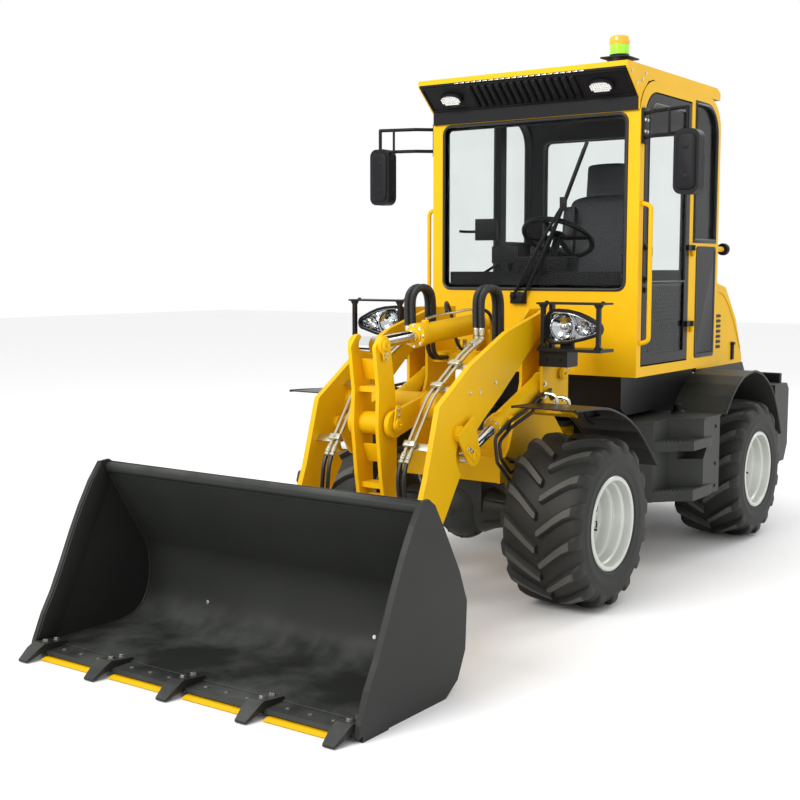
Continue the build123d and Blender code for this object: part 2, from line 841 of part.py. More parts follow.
# ---- rear frame ---------------------------------------------------------------------------
with BuildPart() as rear_frame:
    for outline, half_width in ((rear_nose_outline, nose_half), (rear_chassis_outline, chassis_half)):
        with BuildSketch(side_at(0)):
            with BuildLine():
                Polyline(outline, close=True)
            make_face()
        extrude(amount=-half_width)
    # Hinge forks.
    for low_z in (neck_low_z - 30.0, neck_high_z + 5.0):
        with BuildSketch(plan_plane.offset(low_z)):
            with Locations((articulation_x, 0)):
                Circle(85.0)
            with BuildLine():
                Polyline(fork_outline, close=True)
            make_face()
        extrude(amount=25.0)
    with BuildSketch(plan_plane.offset(neck_low_z - 30.0)):
        with Locations((articulation_x, 0)):
            Circle(hinge_pin_radius)
    extrude(amount=neck_high_z - neck_low_z + 60.0)
    # Steering ears.
    for low_z in (steer_pin_z - 45.0, steer_pin_z + 29.0):
        with BuildSketch(plan_plane.offset(low_z)):
            with Locations(steer_rear):
                Circle(34.0)
            with Locations((steer_rear[0] - 20.0, steer_rear[1] - 60.0)):
                Rectangle(60.0, 120.0)
        extrude(amount=16.0)
    with BuildSketch(plan_plane.offset(steer_pin_z - 45.0)):
        with Locations(steer_rear):
            Circle(steer_pin_radius)
    extrude(amount=90.0)
    # Tank hangers, deck and cab pads.
    with BuildSketch(side_at(0)):
        with Locations((-1340.0, 620.0)):
            Rectangle(30.0, 250.0)
    extrude(amount=-tank_inner_y)
    with BuildSketch(side_at(0)):
        with Locations(((hood_front_x - 2430.0) / 2, deck_z - 8.0)):
            Rectangle(2430.0 + hood_front_x, 16.0)
    extrude(amount=-hood_half_width)
    with BuildSketch(side_at(hood_half_width - 10.0)):
        with BuildLine():
            Polyline(skirt_outline, close=True)
        make_face()
    extrude(amount=-10.0)
    mirror(about=Plane.XZ)
step(rear_frame, "rear_frame")

rear_fender_line = [
    (-1355.0, 760.0),
    (-1448.0, 850.0),
    (-1530.0, 905.0),
    (-1624.0, 945.0),
    (-1782.0, 967.0),
    (-1917.0, 937.0),
    (-2079.0, 850.0),
    (-2200.0, 697.0),
    (-2262.0, 560.0),
]
with BuildPart() as rear_fenders:
    with BuildSketch(side_at(hood_half_width)):
        with BuildLine():
            FilletPolyline(rear_fender_line, radius=sheet_bend)
            offset(amount=sheet, side=Side.LEFT)
        make_face()
    extrude(amount=-(fender_outer_y - hood_half_width))
    mirror(about=Plane.XZ)
step(rear_fenders, "rear_fenders")

cab_base_outline = [
    (-700.0, cab_floor_z),
    (-700.0, 830.0),
    (-760.0, 790.0),
    (-1390.0, 790.0),
    (-1400.0, 800.0),
    (-1640.0, 800.0),
    (-1640.0, cab_floor_z),
]
with BuildPart() as cab_base:
    with BuildSketch(side_at(0)):
        with BuildLine():
            Polyline(cab_base_outline, close=True)
        make_face()
    extrude(amount=hood_half_width, both=True)
step(cab_base, "cab_base")

counterweight_outline = [
    (-2540.0, 420.0),
    (-2560.0, 330.0),
    (-2740.0, 330.0),
    (-2800.0, 430.0),
    (-2800.0, 780.0),
    (-2760.0, 820.0),
    (-2540.0, 820.0),
]
with BuildPart() as counterweight:
    with BuildSketch(side_at(0)):
        with BuildLine():
            Polyline(counterweight_outline, close=True)
        make_face()
    extrude(amount=650.0, both=True)
step(counterweight, "counterweight")

tank_plan = [
    (-758.0, tank_inner_y),
    (-758.0, 536.0),
    (-810.0, 607.0),
    (-1018.0, 605.0),
    (-1130.0, 750.0),
    (-1355.0, 750.0),
    (-1355.0, tank_inner_y),
]
tread_plan = [
    (-812.0, 600.0),
    (-920.0, 695.0),
    (-968.0, 762.0),
    (-1190.0, 762.0),
    (-1255.0, 750.0),
    (-1255.0, 600.0),
]
tank_lid_plan = [
    (-752.0, tank_inner_y),
    (-752.0, 538.0),
    (-806.0, 613.0),
    (-1014.0, 611.0),
    (-1127.0, 757.0),
    (-1355.0, 757.0),
    (-1355.0, tank_inner_y),
]
tank_cap = (-1258.0, 551.0)
toe_opening = [(-960.0, 606.0), (-1010.0, 545.0), (-1130.0, 545.0), (-1180.0, 606.0)]
with BuildPart() as tanks:
    for plan, low_z, high_z in (
        (tank_plan, 345.0, 752.0),
        (tread_plan, 345.0, 400.0),
        (tread_plan, 605.0, 653.0),
        (tank_lid_plan, 752.0, 760.0),
    ):
        with BuildSketch(plan_plane.offset(low_z)):
            with BuildLine():
                Polyline(plan, close=True)
            make_face()
        extrude(amount=high_z - low_z)
    with BuildSketch(side_at(640.0)):
        with BuildLine():
            Polyline(toe_opening, close=True)
        make_face()
    extrude(amount=-130.0, mode=Mode.SUBTRACT)
    for low_z, radius, height in ((760.0, 38.0, 12.0), (772.0, 24.0, 30.0)):
        with BuildSketch(plan_plane.offset(low_z)):
            with Locations(tank_cap):
                Circle(radius)
        extrude(amount=height)
    mirror(about=Plane.XZ)
step(tanks, "tanks")

with BuildPart() as engine_block:
    with BuildSketch(side_at(0)):
        with Locations((-2010.0, deck_z + 115.0)):
            Rectangle(560.0, 230.0)
    extrude(amount=230.0, both=True)
step(engine_block, "engine_block")

hood_outline = [
    (hood_front_x, deck_z + 0.3),
    (hood_front_x, 1446.0),
    (-1960.0, 1455.0),
    (-2120.0, 1425.0),
    (-2300.0, 1230.0),
    (-2430.0, deck_z + 0.3),
]
with BuildPart() as hood:
    with BuildSketch(side_at(0)) as hood_profile:
        with BuildLine():
            Polyline(hood_outline, close=True)
        make_face()
        fillet(hood_profile.vertices(), radius=20.0)
    extrude(amount=hood_half_width, both=True)
    with BuildSketch(side_at(0)) as hood_inside:
        add(hood_profile.sketch_local)
        offset(amount=-hood_sheet)
        with Locations(((hood_front_x - 2410.0) / 2, deck_z + 10.0)):
            Rectangle(hood_front_x + 2410.0 - 2 * hood_sheet, 30.0)
        with Locations((hood_front_x, (deck_z + 1430.0) / 2)):
            Rectangle(80.0, 1430.0 - deck_z)
    extrude(amount=hood_half_width - hood_sheet, both=True, mode=Mode.SUBTRACT)
    # Hinge knuckles on the front edge.
    for inner_y in (300.0, -340.0):
        with BuildSketch(side_at(inner_y)):
            with Locations(hood_hinge):
                Circle(2 * hood_pin_radius)
            with Locations((hood_hinge[0] - 30.0, hood_hinge[1] - 6.0)):
                Rectangle(60.0, 12.0)
            with Locations(hood_hinge):
                Circle(hood_pin_radius + running_gap, mode=Mode.SUBTRACT)
        extrude(amount=-40.0)
step(hood, "engine_hood")

# ---- cab ----------------------------------------------------------------------------------
cab_outline = [
    (cab_front_x, cab_floor_z),
    (cab_front_x, cab_eaves_z),
    (cab_rear_x, cab_eaves_z),
    (cab_rear_x, cab_floor_z),
]
with BuildPart() as cab:
    with BuildSketch(side_at(0)) as cab_profile:
        with BuildLine():
            Polyline(cab_outline, close=True)
        make_face()
        fillet(cab_profile.vertices().group_by(Axis.Y)[-1], radius=cab_arch)
    extrude(amount=cab_half_width, both=True)
    with BuildSketch(side_at(0)) as cab_room:
        with Locations(((cab_front_x + cab_rear_x) / 2, (cab_floor_z + cab_eaves_z) / 2)):
            Rectangle(cab_front_x - cab_rear_x - 2 * cab_wall, cab_eaves_z - cab_floor_z - 2 * cab_wall)
        fillet(cab_room.vertices().group_by(Axis.Y)[-1], radius=cab_arch - cab_wall)
    extrude(amount=cab_half_width - cab_wall, both=True, mode=Mode.SUBTRACT)
    # Door opening on the left, fixed lights on the right and behind.
    for low_x, high_x, low_z, high_z, hand, arch_x in cab_side_openings:
        with BuildSketch(side_at(hand * (cab_half_width + 1.0))) as opening:
            with Locations(((low_x + high_x) / 2, (low_z + high_z) / 2)):
                Rectangle(high_x - low_x, high_z - low_z)
            fillet(opening.vertices().sort_by_distance((arch_x, high_z))[0], radius=opening_arch)
        extrude(amount=hand * (cab_wall + 2.0), mode=Mode.SUBTRACT)
    for at_x, half, low_z, high_z in cab_end_openings:
        with BuildSketch(cross_plane.offset(at_x - cab_wall - 1.0)):
            with Locations((0, (low_z + high_z) / 2)):
                RectangleRounded(2 * half, high_z - low_z, 40.0)
        extrude(amount=2 * cab_wall + 2.0, mode=Mode.SUBTRACT)
    # Door hinge brackets with their pins.
    for hinge_z in door_hinge_z:
        with BuildSketch(plan_plane.offset(hinge_z)):
            with Locations(door_hinge):
                Circle(hinge_knuckle_radius)
            with Locations((door_hinge[0] - 8.0, cab_half_width + 10.0)):
                Rectangle(24.0, 20.0)
        extrude(amount=30.0)
        with BuildSketch(plan_plane.offset(hinge_z)):
            with Locations(door_hinge):
                Circle(hinge_knuckle_radius / 2)
        extrude(amount=60.0)
    # Grab handles on both front pillars.
    for hand in (1, -1):
        with BuildLine():
            handle_path = FilletPolyline(
                [(front_axle_x + x, hand * y, z) for x, y, z in handle_route], radius=25.0
            )
        with BuildSketch(Plane(handle_path @ 0, z_dir=handle_path % 0)):
            Circle(grip_radius)
        sweep()
    # Hood hinge lugs with their pins.
    for inner_y in (280.0, -360.0):
        with BuildSketch(side_at(inner_y)):
            with Locations(hood_hinge):
                Circle(2 * hood_pin_radius)
            with Locations(((hood_hinge[0] + cab_rear_x) / 2, hood_hinge[1])):
                Rectangle(cab_rear_x - hood_hinge[0], 4 * hood_pin_radius)
        extrude(amount=-80.0)
        with BuildSketch(side_at(inner_y + 18.0)):
            with Locations(hood_hinge):
                Circle(2 * hood_pin_radius + 3.0)
        extrude(amount=-44.0, mode=Mode.SUBTRACT)
        with BuildSketch(side_at(inner_y)):
            with Locations(hood_hinge):
                Circle(hood_pin_radius)
        extrude(amount=-80.0)
step(cab, "cab_shell")

door_gap = 8.0
door_low_x, door_high_x, door_low_z, door_high_z, _, _ = cab_side_openings[0]
door_centre = ((door_low_x + door_high_x) / 2, (door_low_z + door_high_z) / 2)
door_length = door_high_x - door_low_x - 2 * door_gap
door_height = door_high_z - door_low_z - 2 * door_gap
door_inner_arch = opening_arch - door_gap - door_rail
with BuildPart() as door:
    with BuildSketch(side_at(cab_half_width)) as door_outline:
        with Locations(door_centre):
            Rectangle(door_length, door_height)
        door_corner = door_outline.vertices().sort_by_distance((door_high_x, door_high_z))[0]
        fillet(door_corner, radius=opening_arch - door_gap)
    extrude(amount=door_thickness)
    with BuildSketch(side_at(cab_half_width + 1.0)) as door_light:
        with Locations(door_centre):
            Rectangle(door_length - 2 * door_rail, door_height - 2 * door_rail)
        fillet(door_light.vertices().sort_by_distance((door_high_x, door_high_z))[0], door_inner_arch)
    extrude(amount=door_thickness + 2.0, mode=Mode.SUBTRACT)
    with BuildSketch(side_at(cab_half_width - 20.0)):
        with Locations((door_centre[0], door_low_z + 230.0)):
            Rectangle(door_length - 2 * door_rail, 350.0)
    extrude(amount=4.0)
    for hinge_z in door_hinge_z:
        with BuildSketch(plan_plane.offset(hinge_z + 30.5)):
            with Locations(door_hinge):
                Circle(hinge_knuckle_radius)
            with Locations((door_hinge[0] + 32.0, cab_half_width + 8.0)):
                Rectangle(64.0, 16.0)
            with Locations(door_hinge):
                Circle(hinge_knuckle_radius / 2 + running_gap, mode=Mode.SUBTRACT)
        extrude(amount=29.0)
step(door, "door_frame")

with BuildPart() as door_glass:
    with BuildSketch(side_at(cab_half_width - 8.0)) as pane:
        with Locations(door_centre):
            Rectangle(door_length - 2 * door_rail, door_height - 2 * door_rail)
        fillet(pane.vertices().sort_by_distance((door_high_x, door_high_z))[0], door_inner_arch)
    extrude(amount=glass_thickness)
step(door_glass, "door_glass")

with BuildPart() as cab_glass:
    for low_x, high_x, low_z, high_z, hand, arch_x in cab_side_openings[1:]:
        with BuildSketch(side_at(hand * (cab_half_width - 14.0))) as pane:
            with Locations(((low_x + high_x) / 2, (low_z + high_z) / 2)):
                Rectangle(high_x - low_x, high_z - low_z)
            fillet(pane.vertices().sort_by_distance((arch_x, high_z))[0], radius=opening_arch)
        extrude(amount=hand * glass_thickness)
    for at_x, half, low_z, high_z in cab_end_openings:
        inward = 14.0 if at_x == cab_rear_x else -14.0 - glass_thickness
        with BuildSketch(cross_plane.offset(at_x + inward)):
            with Locations((0, (low_z + high_z) / 2)):
                RectangleRounded(2 * half, high_z - low_z, 40.0)
        extrude(amount=glass_thickness)
step(cab_glass, "cab_glass")

roof_outline = [
    roof_lip,
    (-450.0, 2512.0),
    (-1590.0, 2512.0),
    (-1640.0, 2490.0),
    (-1640.0, cab_eaves_z),
    roof_heel,
]
roof_cheek_outline = [
    roof_lip,
    (-450.0, 2479.0),
    (-592.0, 2356.0),
    (-592.0, 2300.0),
    (-598.0, 2300.0),
    (-606.0, 2345.0),
    (-630.0, 2385.0),
    (-690.0, 2441.0),
    (-740.0, 2453.0),
    (-740.0, 2460.0),
]
visor_top = [roof_lip[i] + 0.42 * (roof_heel[i] - roof_lip[i]) for i in (0, 1)]
visor_outline = [
    (-452.0, roof_lip[1] + (roof_heel[1] - roof_lip[1]) * 2.0 / 340.0),
    (-452.0, 2478.0),
    (-586.0, 2364.0),
    (-586.0, 2296.0),
    (-592.0, 2296.0),
    tuple(visor_top),
]
visor_normal = Vector(2478.0 - 2364.0, 0, -(586.0 - 452.0))
visor_plane = Plane((front_axle_x - 519.0, 0, 2421.0), x_dir=(0, 1, 0), z_dir=visor_normal)
with BuildPart() as roof:
    with BuildSketch(side_at(0)):
        with BuildLine():
            Polyline(roof_outline, close=True)
        make_face()
    extrude(amount=-roof_half_width)
    with BuildSketch(side_at(roof_half_width - 6.0)):
        with BuildLine():
            Polyline(roof_cheek_outline, close=True)
        make_face()
    extrude(amount=-6.0)
    mirror(about=Plane.XZ)
step(roof, "roof")

with BuildPart() as visor:
    with BuildSketch(side_at(0)):
        with BuildLine():
            Polyline(visor_outline, close=True)
        make_face()
    extrude(amount=roof_half_width - 6.0, both=True)
    with BuildSketch(plan_plane.offset(2512.0)):
        with Locations(beacon_place):
            Circle(58.0)
    extrude(amount=22.0)
step(visor, "visor")

with BuildPart() as work_lights:
    with BuildSketch(visor_plane):
        with Locations((430.0, 0.0), (-430.0, 0.0)):
            Ellipse(68.0, 40.0)
    extrude(amount=26.0)
step(work_lights, "work_lights")

with BuildPart() as seat:
    for outline, half in ((seat_outline, 240.0), (headrest_outline, 130.0)):
        with BuildSketch(side_at(0)):
            with BuildLine():
                Polyline(outline, close=True)
            make_face()
        extrude(amount=half, both=True)
    with BuildSketch(plan_plane.offset(cab_floor_z + cab_wall)):
        with Locations((-1290.0, 0)):
            Rectangle(360.0, 380.0)
    extrude(amount=340.0)
    with BuildSketch(side_at(240.0)):
        with Locations((-1290.0, 1630.0)):
            RectangleRounded(320.0, 60.0, 20.0)
    extrude(amount=-70.0)
    mirror(about=Plane.XZ)
step(seat, "seat")

with BuildPart() as console:
    with BuildSketch(side_at(0)):
        with BuildLine():
            Polyline(console_outline, close=True)
        make_face()
    extrude(amount=110.0, both=True)
    with BuildSketch(steering_plane):
        Circle(22.0)
    extrude(amount=-180.0)
    rim_section = Plane(
        steering_plane.origin, x_dir=steering_plane.x_dir, z_dir=steering_plane.y_dir
    )
    with BuildSketch(rim_section):
        with Locations((185.0, 0)):
            Circle(13.0)
    revolve(axis=Axis(steering_plane.origin, steering_plane.z_dir))
    with BuildSketch(steering_plane.offset(-6.0)):
        Rectangle(360.0, 30.0)
        Rectangle(30.0, 360.0)
    extrude(amount=12.0)
step(console, "steering_console")

# Mirror arm: two tubes from the cab's side, out to a mast that carries the head.
mirror_mast = (-500.0, 880.0)
mirror_arm_z = (2280.0, 2165.0)
with BuildPart() as mirrors:
    for arm_z in mirror_arm_z:
        arm_root = Vector(front_axle_x - 640.0, cab_half_width, arm_z)
        arm_elbow = Vector(front_axle_x - 560.0, 690.0, arm_z)
        arm_tip = Vector(front_axle_x + mirror_mast[0], mirror_mast[1], arm_z)
        for arm_start, arm_end in ((arm_root, arm_elbow), (arm_elbow, arm_tip)):
            with BuildSketch(Plane(arm_start, z_dir=arm_end - arm_start)):
                Circle(9.0)
            extrude(amount=(arm_end - arm_start).length)
        with Locations(arm_elbow, arm_tip):
            Sphere(9.0)
    with BuildSketch(plan_plane.offset(1900.0)):
        with Locations(mirror_mast):
            Circle(9.0)
    extrude(amount=mirror_arm_z[0] - 1900.0)
    with BuildSketch(cross_plane.offset(mirror_mast[0] - 60.0)):
        with Locations((mirror_mast[1], 2030.0)):
            RectangleRounded(125.0, 300.0, 40.0)
    extrude(amount=70.0)
    # The arms end at the cab's side.
    with BuildSketch(side_at(cab_half_width)):
        with Locations((-640.0, 2220.0)):
            Rectangle(200.0, 400.0)
    extrude(amount=60.0, mode=Mode.SUBTRACT)
    mirror(about=Plane.XZ)
step(mirrors, "mirrors")

with BuildPart() as beacon:
    with BuildSketch(plan_plane.offset(2534.0)):
        with Locations(beacon_place):
            Circle(50.0)
    extrude(amount=106.0)
    fillet(beacon.faces().sort_by(Axis.Z)[-1].edges(), radius=12.0)
step(beacon, "beacon")

# Lamp guards: posts either side of each lamp, a bar above, a shelf and a bracket below.
guard_pieces = [
    # low x, high x, low y, high y, low z, high z
    (-110.0, -80.0, 395.0, 413.0, 1172.0, 1372.0),
    (-20.0, 0.0, 395.0, 413.0, 1172.0, 1372.0),
    (-20.0, 0.0, 676.0, 694.0, 1172.0, 1372.0),
    (-110.0, 14.0, 380.0, 708.0, 1372.0, 1381.0),
    (-120.0, 14.0, 385.0, 708.0, 1158.0, 1172.0),
    (-115.0, -10.0, 385.0, 530.0, 1085.0, 1158.0),
]
with BuildPart() as light_guards:
    for low_x, high_x, low_y, high_y, low_z, high_z in guard_pieces:
        with BuildSketch(plan_plane.offset(low_z)):
            with Locations(((low_x + high_x) / 2, (low_y + high_y) / 2)):
                Rectangle(high_x - low_x, high_y - low_y)
        extrude(amount=high_z - low_z)
    mirror(about=Plane.XZ)
step(light_guards, "light_guards")

with BuildPart() as headlights:
    with BuildSketch(cross_plane.offset(-112.0)):
        with Locations((486.0, 1268.0)):
            Circle(72.0)
        with Locations((640.0, 1262.0)):
            Circle(26.0)
        make_hull()
    extrude(amount=80.0)
    with BuildSketch(cross_plane.offset(-80.0)):
        with Locations((500.0, 1200.0)):
            Rectangle(60.0, 56.0)
    extrude(amount=30.0)
    mirror(about=Plane.XZ)
step(headlights, "headlights")

# ---- boom hydraulics ----------------------------------------------------------------------
# Rigid pipes clipped to the boom's inner side.
pipe_route = [(205.0, 1200.0), (400.0, 1085.0), (600.0, 965.0), (690.0, 740.0), (690.0, 690.0)]
pipe_clips = [(300.0, 1144.0), (500.0, 1025.0), (680.0, 765.0)]
pipe_ys = (240.0, 268.0)
with BuildPart() as pipes:
    for pipe_y in pipe_ys:
        with BuildLine():
            pipe_points = [(front_axle_x + x, pipe_y, z) for x, z in pipe_route]
            pipe_path = FilletPolyline(pipe_points, radius=40.0)
        with BuildSketch(Plane(pipe_path @ 0, z_dir=pipe_path % 0)):
            Circle(pipe_radius)
        sweep()
    for clip_place in pipe_clips:
        with BuildSketch(side_at(pipe_ys[0] - pipe_radius - 3.0)):
            with Locations(clip_place):
                Rectangle(30.0, 34.0)
        extrude(amount=-(boom_inner - pipe_ys[0] + pipe_radius + 3.0))
    mirror(about=Plane.XZ)
step(pipes, "boom_pipes")

# Hoses that rise from the tower's cross member and arch over towards the pipes.
boom_hose_route = [(-90.0, 1100.0), (35.0, 1100.0), (35.0, 1438.0), (215.0, 1438.0), (205.0, 1230.0)]
# Hoses that hang in a loop outside each lift cylinder and return to the tower.
hose_loops = [
    [
        (-45.0, 378.0, 950.0),
        (60.0, 378.0, 900.0),
        (250.0, 378.0, 850.0),
        (372.0, 378.0, 790.0),
        (350.0, 378.0, 680.0),
        (225.0, 378.0, 572.0),
        (110.0, 378.0, 640.0),
        (60.0, slot_inner, 640.0),
    ],
    [
        (-45.0, 378.0, 925.0),
        (50.0, 378.0, 872.0),
        (235.0, 378.0, 822.0),
        (335.0, 378.0, 770.0),
        (318.0, 378.0, 692.0),
        (228.0, 378.0, 612.0),
        (140.0, 378.0, 660.0),
        (95.0, slot_inner, 660.0),
    ],
]
loop_radius = 8.0
with BuildPart() as hoses:
    for hose_y in (175.0, 205.0):
        with BuildLine():
            hose_points = [(front_axle_x + x, hose_y, z) for x, z in boom_hose_route]
            hose_path = FilletPolyline(hose_points, radius=70.0)
        with BuildSketch(Plane(hose_path @ 0, z_dir=hose_path % 0)):
            Circle(hose_radius)
        sweep()
    for loop in hose_loops:
        with BuildLine():
            loop_path = FilletPolyline([(front_axle_x + x, y, z) for x, y, z in loop], radius=32.0)
        with BuildSketch(Plane(loop_path @ 0, z_dir=loop_path % 0)):
            Circle(loop_radius)
        sweep()
    # The loops start at the tower's front edge and end on its inner plate.
    for trim_x, trim_y, trim_z in ((-95.0, 378.0, 940.0), (80.0, slot_inner - 50.0, 650.0)):
        with Locations((front_axle_x + trim_x, trim_y, trim_z)):
            Box(100.0, 100.0, 160.0, mode=Mode.SUBTRACT)
    mirror(about=Plane.XZ)
step(hoses, "hoses")
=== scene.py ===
import math
from contextlib import contextmanager

import bmesh
import bpy
from mathutils import Matrix, Vector


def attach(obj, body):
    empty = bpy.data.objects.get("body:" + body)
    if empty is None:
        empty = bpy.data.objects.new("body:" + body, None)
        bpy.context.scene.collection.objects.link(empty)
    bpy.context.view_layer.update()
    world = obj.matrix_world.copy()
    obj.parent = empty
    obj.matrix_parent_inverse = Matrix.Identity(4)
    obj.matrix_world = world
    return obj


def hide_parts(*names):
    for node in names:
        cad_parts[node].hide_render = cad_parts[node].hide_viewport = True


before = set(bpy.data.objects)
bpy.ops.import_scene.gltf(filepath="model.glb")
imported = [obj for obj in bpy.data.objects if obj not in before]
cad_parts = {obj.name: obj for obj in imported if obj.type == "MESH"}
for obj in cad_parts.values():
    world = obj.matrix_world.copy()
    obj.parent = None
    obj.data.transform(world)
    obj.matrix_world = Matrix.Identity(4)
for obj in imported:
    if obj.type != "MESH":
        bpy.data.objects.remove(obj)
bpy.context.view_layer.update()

bl_info = {
    "name": "Wheel Loader Dressing",
    "version": (1, 0, 0),
    "blender": (4, 5, 0),
    "location": "3D View > Sidebar > Loader",
    "description": "Finishes and fine pieces of a compact wheel loader on its CAD frame",
    "category": "Object",
}

# Where the front axle stands in the shared frame, and the places that the pieces share,
# measured from the ground under it, in metres.
FRONT_AXLE_X = 0.38
WHEELBASE = 1.896
AXLE_Z = 0.3935
WHEEL_Y = 0.592
LOADER_Y = 0.3225
CAB_SIDE_Y = 0.600
WINDSCREEN_X = -0.600
REAR_WINDOW_X = -1.650
HOOD_SIDE_Y = 0.4755
PIPE_YS = (0.185, 0.215)
HOSE_YS = (0.175, 0.205)

# Corners closer than this are one, edges sharper than this are rounded, and each bolt is turned
# by this from the one before it.
MERGE_DISTANCE = 1e-6
EDGE_ANGLE = math.radians(35)
BOLT_TURN = 0.4

X_AXIS = Vector((1, 0, 0))
Y_AXIS = Vector((0, 1, 0))
Z_AXIS = Vector((0, 0, 1))
MIRRORED = Matrix.Scale(-1, 4, Y_AXIS)


def at(x, y, z):
    """A point measured from the ground under the front axle, in the shared frame."""
    return Vector((x + FRONT_AXLE_X, y, z))


def put(x, y, z):
    """The placement that sets a piece on a point measured from the front axle."""
    return Matrix.Translation(at(x, y, z))


def moved(x, y, z):
    return Matrix.Translation((x, y, z))


def spun(degrees, axis):
    return Matrix.Rotation(math.radians(degrees), 4, axis)


def standing(place, outward, turn=0.0):
    """The placement that sets a piece made along +Z on a point, facing outward."""
    return (Matrix.Translation(place) @ outward.to_track_quat("Z", "Y").to_matrix().to_4x4()
            @ Matrix.Rotation(turn, 4, "Z"))


def side_place(y):
    """The placement of an (x, z) outline from the front axle; its thickness goes towards +Y."""
    return Matrix(((1, 0, 0, FRONT_AXLE_X), (0, 0, 1, y), (0, 1, 0, 0), (0, 0, 0, 1)))


def front_place(x):
    """The placement of a (y, z) outline; its thickness goes towards +X."""
    return Matrix(((0, 0, 1, x + FRONT_AXLE_X), (1, 0, 0, 0), (0, 1, 0, 0), (0, 0, 0, 1)))


def on_the_right(spots):
    """The same (place, outward) pairs on the machine's right side."""
    return [(MIRRORED @ place, MIRRORED @ outward) for place, outward in spots]


def in_pairs(spots):
    """Each (place, outward) pair on the left, followed by the same on the right."""
    return [spot for pair in zip(spots, on_the_right(spots)) for spot in pair]


def round_about(count, radius, height=0.0, start=0.0):
    """Placements evenly round the Z axis; the start is a share of the step between them."""
    return [Matrix.Rotation(2 * math.pi * (index + start) / count, 4, "Z")
            @ moved(radius, 0, height) for index in range(count)]


# ---- properties ------------------------------------------------------------------------


class LoaderPaints(bpy.types.PropertyGroup):
    """Colours of the machine's paints and plastics."""

    body: bpy.props.FloatVectorProperty(
        name="Body", description="Yellow of the frame, the boom and the cab", subtype="COLOR",
        size=3, min=0, max=1, default=(0.80, 0.4550, 0.0015),
    )
    bucket: bpy.props.FloatVectorProperty(
        name="Bucket", description="Dark grey of the bucket", subtype="COLOR",
        size=3, min=0, max=1, default=(0.020, 0.0215, 0.0195),
    )
    chassis: bpy.props.FloatVectorProperty(
        name="Chassis", description="Grey of the tanks, the rear fenders and the axles",
        subtype="COLOR", size=3, min=0, max=1, default=(0.036, 0.039, 0.035),
    )
    rim: bpy.props.FloatVectorProperty(
        name="Rims", description="Silver of the wheel rims", subtype="COLOR",
        size=3, min=0, max=1, default=(0.60, 0.62, 0.58),
    )


class LoaderSizes(bpy.types.PropertyGroup):
    """Sizes and counts of the fine pieces."""

    lugs: bpy.props.IntProperty(
        name="Lugs", description="Chevron lugs on each side of a tyre", min=8, max=32, default=16,
    )
    sleeve_pitch: bpy.props.FloatProperty(
        name="Sleeve pitch", description="Distance between the ribs of the hoses' sleeves",
        subtype="DISTANCE", unit="LENGTH", min=0.003, max=0.02, default=0.007,
    )
    fender_bead: bpy.props.FloatProperty(
        name="Fender bead", description="Radius of the fenders' rolled edges",
        subtype="DISTANCE", unit="LENGTH", min=0.003, max=0.01, default=0.006,
    )


class LoaderCamera(bpy.types.PropertyGroup):
    """Where the view is taken from."""

    place: bpy.props.FloatVectorProperty(
        name="Place", description="Camera position", subtype="TRANSLATION", unit="LENGTH",
        size=3, default=(5.434, 3.173, 1.529),
    )
    yaw: bpy.props.FloatProperty(
        name="Yaw", description="Turn of the view from straight back along the machine",
        subtype="ANGLE", default=math.radians(35.23),
    )
    pitch: bpy.props.FloatProperty(
        name="Pitch", description="Tilt of the view below the horizon", subtype="ANGLE",
        default=math.radians(5.97),
    )
    lens: bpy.props.FloatProperty(
        name="Lens", description="Focal length in millimetres on a 36 mm sensor",
        min=20, max=200, default=56.0,
    )


# ---- materials -------------------------------------------------------------------------


def node(tree, kind, inputs=None, **settings):
    """A shader node with its settings; its sockets take values or links from other sockets."""
    made = tree.nodes.new("ShaderNode" + kind)
    for key, value in settings.items():
        setattr(made, key, value)
    for key, value in (inputs or {}).items():
        if isinstance(value, bpy.types.NodeSocket):
            tree.links.new(value, made.inputs[key])
        else:
            made.inputs[key].default_value = value
    return made


def maths(tree, operation, *values):
    return node(tree, "Math", dict(enumerate(values)), operation=operation).outputs[0]


def vectors(tree, operation, *values):
    return node(tree, "VectorMath", dict(enumerate(values)), operation=operation).outputs[0]


def spread(tree, value, low, high, to_low=0.0, to_high=1.0):
    """A value carried from one range to another, and held inside it."""
    return node(tree, "MapRange", {"Value": value, "From Min": low, "From Max": high,
                                   "To Min": to_low, "To Max": to_high}).outputs["Result"]


def mixed(tree, factor, first, second):
    return node(tree, "Mix", {"Factor": factor, "A": first, "B": second},
                data_type="RGBA").outputs["Result"]


def noise(tree, scale, detail, roughness=0.5):
    place = node(tree, "TexCoord").outputs["Object"]
    return node(tree, "TexNoise", {"Vector": place, "Scale": scale, "Detail": detail,
                                   "Roughness": roughness}).outputs["Fac"]


